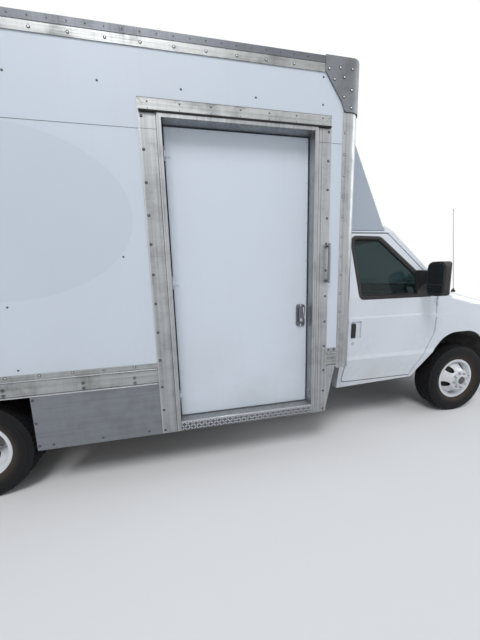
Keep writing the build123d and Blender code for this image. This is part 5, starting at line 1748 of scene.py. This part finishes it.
@dataclass
class CabTrim(Assembly):
    """Window surrounds, seals, mirrors, wipers and antenna of the cab, and the finish of its panels."""

    section: Rows = ((0.424, 0.950), (0.520, 0.966), (0.724, 1.010), (0.762, 1.003), (1.137, 1.012), (1.153, 1.005),
                     (1.342, 1.000), (1.965, 0.884))
    plan: Rows = ((-1.478, 1.020), (-0.300, 1.020), (0.420, 0.985), (0.640, 0.900))
    window: Rows = ((-1.262, 1.348, 0.025), (-0.470, 1.348, 0.012), (-0.455, 1.402, 0.015), (-1.017, 1.898, 0.05),
                    (-1.316, 1.905, 0.04))
    door: Rows = ((-1.432, 0.488, 0.03), (-0.628, 0.488, 0.0), (-0.470, 0.779, 0.06), (-0.388, 0.952, 0.06),
                  (-0.388, 1.440, 0.04), (-0.925, 1.955, 0.06), (-1.428, 1.955, 0.09), (-1.400, 1.200, 0.0),
                  (-1.410, 0.700, 0.0))
    screen: Rows = ((-0.830, 1.425, 0.06), (0.830, 1.425, 0.06), (0.752, 1.930, 0.07), (-0.752, 1.930, 0.07))
    mirror_x: float = -0.6395

    def side(self, points: Array, lift: float) -> Array:
        """Placer of the right side: y is minus the smaller of the section's and the plan's half width, plus the lift.

        Args:
            points: stations and heights (N, 2).
            lift: how far off the side.

        Returns:
            Points (N, 3).
        """
        rows, line = np.array(self.section), np.array(self.plan)
        y = np.minimum(np.interp(points[:, 1], rows[:, 0], rows[:, 1]), np.interp(points[:, 0], line[:, 0], line[:, 1]))
        return np.column_stack([self.at(points[:, 0]), -(y + lift), points[:, 1]])

    def glass(self, points: Array, lift: float) -> Array:
        """Placer of the bowed, raked windshield.

        x falls by the square of y over the half width times the bow, and by 618/595 of the height over the cowl; the
        lift goes out along the middle's normal.

        Args:
            points: Y and Z (N, 2).
            lift: how far off the glass.

        Returns:
            Points (N, 3).
        """
        y, z = points[:, 0], points[:, 1]
        x = -0.110 - 0.187 * (y / 1.1) ** 2 - 1.0387 * (z - 1.370)
        return np.column_stack([self.at(x + lift * 0.69), y, z + lift * 0.72])

    def surrounds(self) -> None:
        """Window surrounds, run channels and door seals."""
        outline = rounded(self.window)
        outer = band(outline, -0.003, 0.030, self.side, 0.004)
        self.pair("window_surrounds", outer, "black_plastic", "cab_door", "black_plastic")
        inner = band(outline, -0.016, 0.001, sunk(self.side, 0.0165), 0.010)
        self.pair("window_channels", inner, "seal_rubber", "cab_door", "black_plastic")
        seal = band(rounded(self.door), -0.012, 0.010, sunk(self.side, 0.047), 0.012)
        self.pair("cab_door_seals", seal, "seal_rubber", slot="black_plastic")
        wide = band(rounded(self.screen), -0.004, 0.022, self.glass, 0.003)
        self.shop.make("windshield_gasket", wide, "black_plastic")

    def wipers(self) -> None:
        """Wiper arms and blades that follow the windshield."""
        t = np.linspace(0, 1, 14)[:, None]
        for name, pivot_y, start, end in (("left", 0.62, (0.02, 1.452), (0.66, 1.470)),
                                          ("right", -0.10, (-0.68, 1.462), (-0.06, 1.452))):
            pivot, a, b = np.array([pivot_y, 1.402]), np.array(start), np.array(end)
            line = a + (b - a) * t
            rubber = tube(self.glass(line, 0.0055), 0.0035, 6)
            spine = tube(self.glass(line[2:-2] + [0, 0.001], 0.014), 0.0042, 6)
            arm_line = pivot + ((a + b) / 2 - pivot) * t
            heights = np.interp(t[:, 0], [0, 0.25, 1], [0.020, 0.030, 0.018])
            arm = np.vstack([self.glass(arm_line[i:i + 1], h) for i, h in enumerate(heights)])
            base = lathe([(0.018, -0.02), (0.018, 0.02), (0.012, 0.028), (0, 0.029)], 14).turned("Y", 44)
            foot = self.glass(pivot[None], 0.008)[0]
            form = rubber + spine + tube(arm, 0.006, 8) + base.moved(*foot)
            self.shop.make(f"wiper_{name}", form, "black_plastic", smooth=50)

    def antenna(self) -> None:
        """Mast on its ball and base, on the right fender's shoulder."""
        x, y, z = self.at(-0.013), -0.850, 1.352
        base = lathe([(0.020, -0.012), (0.020, 0.004), (0.015, 0.012), (0.008, 0.020), (0.006, 0.028), (0, 0.029)], 16)
        t = np.linspace(0, 1, 10)[:, None]
        mast = np.array([x, y, z + 0.02]) + np.array([-0.105, -0.005, 0.83]) * t
        tip = lathe([(0.0028, -0.004), (0.004, 0.0), (0.0028, 0.005), (0, 0.006)], 8).moved(*mast[-1])
        mast_form = base.moved(x, y, z) + tube(mast, row(0.0026, 0.0016, 10), 6) + tip
        self.shop.make("antenna", mast_form, "black_plastic", smooth=50)

    def mirrors(self) -> None:
        """Flat and wide-angle glass on the rear face of each head, and the rim round both."""
        y0, y1, round_r, tight_r = 1.110, 1.272, 0.045, 0.012
        wide = rounded([(y0, 1.362, round_r), (y1, 1.362, round_r), (y1, 1.444, tight_r), (y0, 1.444, tight_r)])
        flat = rounded([(y0, 1.454, tight_r), (y1, 1.454, tight_r), (y1, 1.642, round_r), (y0, 1.642, round_r)])
        glass = [rod_x((outline * (-1, 1))[::-1], self.at(self.mirror_x - 0.003), self.at(self.mirror_x + 0.001))
                 for outline in (wide, flat)]
        self.pair("mirror_glass", joined(glass), "mirror_glass", "cab_door", "bright_steel")
        face = flat_x(self.at(self.mirror_x))
        rims = [band(outline, -0.0005, 0.0052, face, 0.005) for outline in (wide, flat)]
        self.pair("mirror_rims", joined(rims), "black_plastic", "cab_door", "black_plastic")

    def locks(self) -> None:
        """Key lock under each pull handle, and the handle's bezel."""
        place = self.side(np.array([[-1.348, 0.895]]), 0.0)[0]
        lock = facing(lathe([(0.014, -0.004), (0.014, 0.0015), (0.0125, 0.0035), (0.009, 0.0035), (0.008, 0.0015),
                             (0, 0.0015)], 20), "-Y")
        self.pair("door_locks", lock.moved(*place), "galvanized", "cab_door", "bright_steel")
        recess = rectangle(-1.374, -1.262, 0.945, 1.112, 0.012, 4)
        self.pair("handle_bezels", band(recess, -0.001, 0.005, self.side, 0.0018), "cab_paint", "cab_door", "cab_paint")

    def build(self) -> None:
        """Dress the cab and make its trim."""
        shop = self.shop
        shop.dress("cab_paint", "cab_shell", "front_fenders", "hood", "cab_door_right", "cab_door_left")
        shop.dress("fairing_paint", "cab_fairing")
        shop.dress("clear_glass", "windshield", "door_glass_right", "door_glass_left")
        shop.dress("black_plastic", "mirror_and_handle_right", "mirror_and_handle_left", "grille")
        self.surrounds()
        self.wipers()
        self.antenna()
        self.mirrors()
        self.locks()


@dataclass
class Nose(Assembly):
    """Lamp surrounds, radiator and bumper pad of the nose."""

    lamp: Rows = ((0.574, 0.858, 0.022), (0.890, 0.858, 0.03), (0.890, 1.112, 0.03), (0.574, 1.112, 0.022))
    split: float = 0.800
    corner_y: float = 0.797
    corner_r: float = 0.150

    def face(self, points: Array, lift: float) -> Array:
        """Placer of the right half of the nose.

        x falls in a straight line to the corner, and then by r - sqrt(r^2 - d^2) with the distance d past it.

        Args:
            points: distances off the middle plane and heights (N, 2).
            lift: how far ahead of the nose.

        Returns:
            Points (N, 3).
        """
        past = np.clip(points[:, 0] - self.corner_y, 0, self.corner_r * 0.8)
        x = 0.652 - 0.0133 * points[:, 0] - (self.corner_r - np.sqrt(self.corner_r ** 2 - past ** 2))
        return np.column_stack([self.at(x + lift), -points[:, 0], points[:, 1]])

    def build(self) -> None:
        """Dress the nose and make its small parts."""
        shop, at = self.shop, self.at
        shop.dress("bright_steel", "front_bumper")
        shop.dress("headlamp_lens", "headlamps")
        rim = band(rounded(self.lamp), -0.006, 0.008, self.face, 0.005)
        heights = np.linspace(0.862, 1.108, 12)
        bar = tube(self.face(np.column_stack([np.full(12, self.split), heights]), 0.0005), 0.004, 8)
        self.pair("headlamp_bezels", rim.inside_out() + bar, "black_plastic")
        core = block((at(0.535), -0.47, 0.735), (at(0.560), 0.47, 1.085), 0.003)
        fins = block((at(0.560), -0.46, -0.0012), (at(0.5635), 0.46, 0.0012), 0.0004)
        shop.make("radiator", core + fins.repeated(spots(0.0, 0.0, np.arange(0.745, 1.08, 0.011))), "engine_iron")
        y = np.linspace(-0.60, 0.60, 31)
        pad = np.stack([at(0.7525 - 0.055 * (y / 0.62) ** 2), y, np.full(31, 0.6485)], -1)
        shop.make("bumper_pad", tube(pad, 0.0065, 8), "black_plastic", smooth=60)


@dataclass
class Cabin(Assembly):
    """Seats with filled cushions, dashboard details and door cards.

    Attributes:
        seat_y: distance of a seat's middle from the truck's.
        voxel: size of the remesh before the cloth.
        frames: steps of the cloth simulation.
        pressure: that fills a cushion.
        cap: how far a point may move.
        seam_w: width of a sewn channel.
    """

    seat_y: float = 0.430
    voxel: float = 0.009
    frames: int = 20
    pressure: float = 4.0
    cap: float = 0.024
    seam_w: float = 0.009

    def cushion_form(self, half_x: float, half_y: float, half_z: float) -> Form:
        """Cushion before it is filled.

        A closed surface (x, y, z) over angles u and v: each coordinate is its half size times the sign and a power of
        the sphere's own, so that a small power gives a rounded block and 1 an ellipsoid.

        Args:
            half_x: half size along X.
            half_y: half size along Y.
            half_z: half size along Z.

        Returns:
            The cushion about the origin.
        """
        def bend(t: Array, power: float) -> Array:
            """Power of a size that keeps its sign."""
            return np.sign(t) * np.abs(t) ** power

        u = np.linspace(0, 2 * np.pi, 48, endpoint=False)
        v = np.linspace(-np.pi / 2 + 0.02, np.pi / 2 - 0.02, 25)
        cu, su, cv, sv = np.cos(u)[:, None], np.sin(u)[:, None], np.cos(v)[None], np.sin(v)[None]
        grid = np.stack([half_x * bend(cu, 0.28) * bend(cv, 0.4), half_y * bend(su, 0.28) * bend(cv, 0.4),
                         half_z * bend(sv, 0.55) * np.ones_like(cu)], -1)
        form = surface(grid, closed_u=True)
        n, rows_v = len(form.points), len(v)
        i = np.arange(len(u)) * rows_v
        j = np.roll(i, -1)
        points = np.vstack([form.points, [0, 0, -half_z], [0, 0, half_z]])
        caps = np.vstack([np.stack([np.full(len(u), n), j, i], -1),
                          np.stack([np.full(len(u), n + 1), i + rows_v - 1, j + rows_v - 1], -1)])
        return Form(points, form.quads, caps)

    def filled(self, name: str, form: Form, seams: Sequence[tuple]) -> bpy.types.Object:
        """Pad one cushion: cloth under pressure, then its sewn channels and one subdivision.

        Args:
            name: the piece's name.
            form: cushion before filling, in the row frame.
            seams: rows of (axis, origin, lines across that axis from the origin, depth) of its sewn channels.

        Returns:
            The piece.
        """
        piece = self.shop.make(name, form, "seat_cloth", smooth=180)
        bpy.context.view_layer.objects.active = piece
        remesh = piece.modifiers.new("remesh", "REMESH")
        remesh.mode, remesh.voxel_size = "VOXEL", self.voxel
        self.apply(piece)
        start = self.points(piece)
        cloth = piece.modifiers.new("cloth", "CLOTH")
        cloth.settings.use_pressure = True
        cloth.settings.uniform_pressure_force = self.pressure
        cloth.settings.effector_weights.gravity = 0.0
        cloth.point_cache.frame_start, cloth.point_cache.frame_end = 1, self.frames
        for step in range(1, self.frames + 1):
            bpy.context.scene.frame_set(step)
        bpy.context.view_layer.update()
        self.apply(piece)
        moved = self.points(piece) - start
        far = np.linalg.norm(moved, axis=1)[:, None] + 1e-9
        self.place(piece, start + moved * np.minimum(1.0, self.cap / far))
        bpy.context.scene.frame_set(1)
        points = self.points(piece)
        normal = np.zeros(len(points) * 3)
        piece.data.vertices.foreach_get("normal", normal)
        sewn = sum((self.channel(points[:, axis] - origin, lines, depth) for axis, origin, lines, depth in seams),
                   np.zeros(len(points)))
        self.place(piece, points - normal.reshape(-1, 3) * sewn[:, None])
        sub = piece.modifiers.new("subdivision", "SUBSURF")
        sub.levels = sub.render_levels = 1
        self.apply(piece)
        piece.data.polygons.foreach_set("use_smooth", np.ones(len(piece.data.polygons), bool))
        log.info("%s: padded from %d points", name, len(form.points))
        return piece

    @staticmethod
    def points(piece: bpy.types.Object) -> Array:
        """Points of a mesh.

        Args:
            piece: the object that has it.

        Returns:
            Points (N, 3).
        """
        flat = np.zeros(len(piece.data.vertices) * 3)
        piece.data.vertices.foreach_get("co", flat)
        return flat.reshape(-1, 3)

    @staticmethod
    def place(piece: bpy.types.Object, points: Array) -> None:
        """Move a piece's points."""
        piece.data.vertices.foreach_set("co", points.ravel())
        piece.data.update()

    @staticmethod
    def apply(piece: bpy.types.Object) -> None:
        """Turn live modifiers into the mesh.

        Args:
            piece: the object that has them.
        """
        graph = bpy.context.evaluated_depsgraph_get()
        mesh = bpy.data.meshes.new_from_object(piece.evaluated_get(graph))
        piece.modifiers.clear()
        old, piece.data = piece.data, mesh
        bpy.data.meshes.remove(old)

    def channel(self, across: Array, lines: Floats, depth: float) -> Array:
        """Depth of sewn channels: depth times exp(-(d / width)^2) for the distance d to the nearest line."""
        away = (across[:, None] - np.array(lines)[None]) / self.seam_w
        return depth * np.exp(-away ** 2).max(1)

    def seats(self) -> None:
        """Cushions, backs and headrests of both seats on their bases."""
        lean = math.degrees(math.atan2(0.11, 0.67))
        for side in Side:
            y = side.value * self.seat_y
            seam_rows = (("seat_cushion", (0.262, 0.252, 0.056), 0, (-0.97, 0.967),
                          ((1, y, (-0.15, 0.15), 0.007), (0, self.at(-0.97), (-0.06, 0.09), 0.004))),
                         ("seat_back", (0.325, 0.243, 0.052), -90 - lean, (-1.235, 1.370),
                          ((1, y, (-0.14, 0.14), 0.007), (2, 0.0, (1.25, 1.42, 1.59), 0.004))),
                         ("headrest", (0.078, 0.132, 0.042), -90, (-1.298, 1.782), ()))
            pieces = []
            for name, half, turn, (x, z), seams in seam_rows:
                form = self.cushion_form(*half).turned("Y", turn).moved(self.at(x), y, z)
                pieces.append(self.filled(f"{name}_{side.suffix}", form, seams))
            posts = joined([tube([(self.at(-1.29), y + out, 1.68), (self.at(-1.295), y + out, 1.76)], 0.006, 8)
                            for out in (-0.06, 0.06)])
            base = block((self.at(-1.20), y - 0.235, 0.722), (self.at(-0.77), y + 0.235, 0.902), 0.02)
            self.shop.make(f"seat_posts_{side.suffix}", posts, "bright_steel")
            pieces.append(self.shop.make(f"seat_base_{side.suffix}", base, "black_plastic"))
            for piece in pieces:
                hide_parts("seats")

    def dash_details(self) -> None:
        """Instrument hood, vents, controls and glove box lid on the dashboard."""
        at = self.at
        hood = rod_y(rounded([(-0.62, 1.318, 0.01), (-0.44, 1.318, 0.01), (-0.47, 1.385, 0.05), (-0.60, 1.375, 0.03)]),
                     0.23, 0.63).moved(self.layout.axle_x)
        vent = block((at(-0.648), -0.055, -0.032), (at(-0.60), 0.055, 0.032), 0.006)
        for z in np.linspace(-0.022, 0.022, 5):
            vent += block((at(-0.653), -0.048, z - 0.0015), (at(-0.640), 0.048, z + 0.0015), 0.0006)
        vents = vent.repeated(spots(0.012, [-0.80, -0.16, 0.16, 0.82], 1.225))
        lid = block((at(-0.642), -0.72, 1.02), (at(-0.585), -0.26, 1.14), 0.012)
        radio = block((at(-0.645), -0.105, 1.075), (at(-0.60), 0.105, 1.165), 0.006)
        knobs = facing(lathe([(0.016, 0), (0.015, 0.016), (0.013, 0.019), (0, 0.019)], 18), "-X").repeated(
            spots(at(-0.645), [-0.075, 0.075, -0.07, 0.0, 0.07], [1.12, 1.12, 1.035, 1.035, 1.035]))
        self.shop.make("instrument_hood", hood, "dash_plastic", slot="black_plastic")
        self.shop.make("dash_vents", vents, "black_plastic")
        self.shop.make("dash_panels", lid + radio, "black_plastic")
        self.shop.make("dash_knobs", knobs, "grey_trim", slot="black_plastic")

    def door_inners(self) -> None:
        """Inner door cards with an armrest and a pull."""
        at = self.at
        card = block((at(-1.37), -0.956, 0.60), (at(-0.66), -0.938, 1.30), 0.012)
        rest = block((at(-1.28), -0.940, 0.985), (at(-0.86), -0.885, 1.035), 0.018)
        pull = tube([(at(-0.84), -0.938, 1.12), (at(-0.845), -0.905, 1.13), (at(-0.95), -0.905, 1.16),
                     (at(-0.955), -0.938, 1.17)], 0.011, 10)
        self.pair("door_cards", card + rest, "grey_trim", "cab_door", "black_plastic")
        self.pair("door_pulls", pull, "black_plastic", "cab_door", "black_plastic", 60)

    def build(self) -> None:
        """Dress the cabin and make its parts."""
        self.shop.dress("dash_plastic", "dashboard")
        self.shop.dress("seat_cloth", "seats")
        self.seats()
        self.dash_details()
        self.door_inners()


@dataclass
class RearEnd(Assembly):
    """Rear doors' edging and rivets, lamp bezels and lenses, side markers and step tread."""

    back: float = -6.387
    lamps: Floats = (-1.119, -0.999)

    def build(self) -> None:
        """Dress the rear and make its small parts."""
        shop, at = self.shop, self.at
        shop.dress("mill_aluminium", "rear_frame")
        shop.dress("door_paint", "rear_door_right", "rear_door_left")
        shop.dress("galvanized", "rear_hardware_right", "rear_hardware_left", "rear_bumper")
        shop.dress("lamp_lens", "body_lamps")
        back = self.back
        edging = band(rectangle(0.006, 1.130, 0.914, 2.976, 0.0), -0.026, -0.0005, flat_x(at(back)), 0.0015)
        self.pair("rear_door_edging", edging, "mill_aluminium", "rear_door", "mill_aluminium")
        zs = row(0.93, 2.96, 19)
        edge = np.vstack([spots(at(back - 0.0012), y, zs) for y in (-0.018, -1.118)])
        ys = row(-1.15, -0.05, 9)
        head = np.vstack([spots(at(back), ys, 3.09), spots(at(back), ys, 2.998),
                          spots(at(back), -1.20, row(0.95, 2.95, 14))])
        for side in Side:
            mirror = side is Side.LEFT
            shop.rivets(f"rear_door_rivets_{side.suffix}", [(edge, "-X", 0.005)], f"rear_door_{side.suffix}", mirror)
            shop.rivets(f"rear_frame_rivets_{side.suffix}", [(head, "-X", 0.006)], "root", mirror)
        rim = facing(lathe([(0.058, 0.0), (0.058, 0.012), (0.055, 0.0155), (0.0515, 0.0155), (0.0505, 0.0)], 32), "-X")
        lens = facing(lathe([(0.0495, 0.0), (0.0495, 0.004), (0.046, 0.008), (0.040, 0.0085), (0.038, 0.0105),
                             (0.026, 0.0115), (0.024, 0.0135), (0.0, 0.0145)], 32), "-X")
        for name, form, x, finish, slot in (("bezels", rim, back, "seal_rubber", "black_plastic"),
                                            ("lenses", lens, back - 0.022, "lamp_lens", "lamp_lens")):
            self.pair(f"tail_lamp_{name}", form.repeated(spots(at(x), self.lamps, 0.840)), finish, slot=slot)
        marker = block((at(-6.255), -1.2265, 0.795), (at(-6.155), -1.2225, 0.835), 0.0015)
        self.pair("side_markers_rear", marker, "lamp_lens")
        xs, ys = np.meshgrid(at(row(-6.585, -6.44, 6)), row(-1.04, 1.04, 64))
        bars = lozenge(0).repeated(spots(xs.ravel(), ys.ravel(), 0.6002))
        shop.make("rear_step_tread", bars, "galvanized")


@dataclass
class Studio(Assembly):
    """Camera at the photograph's viewing angle, soft light, floor and white background.

    Attributes:
        position: of the camera.
        yaw: of its view from +Y towards +X, in radians, as pitch and roll are.
        focal_px: focal length in pixels of the photograph.
        photo_height: of the photograph in pixels.
        sensor: width of the camera's sensor in millimetres.
        floor_half: half the floor's width.
        fade: distances between which the floor turns white.
    """

    position: tuple = (-0.0284, -3.3015, 1.5815)
    yaw: float = 0.204738
    pitch: float = -0.162689
    roll: float = -0.027779
    focal_px: float = 269.47
    photo_height: int = 640
    sensor: float = 36.0
    sky_colour: tuple = (0.90, 0.95, 1.0)
    sky_strength: float = 0.42
    floor_colour: tuple = (0.78, 0.78, 0.79)
    floor_half: float = 60.0
    fade: tuple = (5.5, 13.0)

    def camera(self) -> None:
        """Camera whose axes follow from yaw, pitch and roll."""
        cos, sin = math.cos, math.sin
        ahead = Vector((sin(self.yaw) * cos(self.pitch), cos(self.yaw) * cos(self.pitch), sin(self.pitch)))
        level = Vector((cos(self.yaw), -sin(self.yaw), 0.0))
        upright = level.cross(ahead)
        right = level * cos(self.roll) + upright * sin(self.roll)
        up = upright * cos(self.roll) - level * sin(self.roll)
        data = bpy.data.cameras.new("camera")
        data.sensor_width, data.lens = self.sensor, self.focal_px * self.sensor / self.photo_height
        data.clip_end = 200.0
        thing = bpy.data.objects.new("camera", data)
        bpy.context.scene.collection.objects.link(thing)
        turn = Matrix((right, up, -ahead)).transposed().to_4x4()
        thing.matrix_world = Matrix.Translation(Vector(self.position)) @ turn
        bpy.context.scene.camera = thing

    def light(self, name: str, place: Floats, target: Floats, size: float, power: float,
              colour: Floats = WHITE) -> None:
        """Square area light aimed at a point.

        Args:
            name: of the light.
            place: where it stands.
            target: where it aims.
            size: length of its sides.
            power: in watts.
            colour: of its light.
        """
        data = bpy.data.lights.new(name, "AREA")
        data.size, data.energy, data.color = size, power, colour
        thing = bpy.data.objects.new(name, data)
        bpy.context.scene.collection.objects.link(thing)
        thing.location = place
        thing.rotation_euler = (Vector(target) - Vector(place)).to_track_quat("-Z", "Y").to_euler()

    def world(self) -> None:
        """Even sky for the object; the camera, gloss and glass see white."""
        g = Graph("sky", sky=True)
        g.done(Color=self.sky_colour, Strength=self.sky_strength)
        g.cover(g.add("ShaderNodeBackground", None, {"Color": WHITE, "Strength": 1.0}), g.backdrop())
        bpy.context.scene.world = g.material

    def floor(self) -> None:
        """Plain pale floor that fades to the white background away from the truck."""
        size = self.floor_half
        mesh = bpy.data.meshes.new("floor")
        mesh.from_pydata([(-size, -size, 0), (size, -size, 0), (size, size, 0), (-size, size, 0)], [], [(0, 1, 2, 3)])
        g = Graph("floor")
        g.done(Base_Color=self.floor_colour, Roughness=0.9)
        x, y = g.axis("X"), g.axis("Y")
        far = ((x * x + y * y) ** 0.5).between(*self.fade)
        g.cover(g.add("ShaderNodeEmission", None, {"Color": WHITE, "Strength": 1.0}), far * g.backdrop())
        mesh.materials.append(g.material)
        thing = bpy.data.objects.new("floor", mesh)
        bpy.context.scene.collection.objects.link(thing)

    def build(self) -> None:
        """Set up camera, lights, sky and floor."""
        self.camera()
        self.world()
        self.floor()
        self.light("key", (-2.0, -8.0, 12.5), (-0.5, 0, 1.4), 5.0, 900)
        self.light("fill", (9.0, -2.5, 5.0), (1.0, 0, 1.4), 5.0, 200, (0.95, 0.98, 1.0))
        self.light("back", (-6.0, 8.0, 8.0), (-0.5, 0, 1.4), 6.0, 300, (1.0, 0.99, 0.97))
        bpy.context.scene.view_settings.view_transform = "Standard"


def main() -> None:
    """Build every sub-assembly in order."""
    logging.basicConfig(level=logging.INFO, format="%(message)s")
    layout = Layout()
    shop = Workshop(layout, Palette(layout))
    for kind in (Studio, Tyres, WheelHardware, Underside, LoadBody, SideDoorway, CabTrim, Nose, Cabin, RearEnd):
        kind(shop).build()
        log.info("%s built", kind.__name__)


if __name__ == "__main__":
    main()
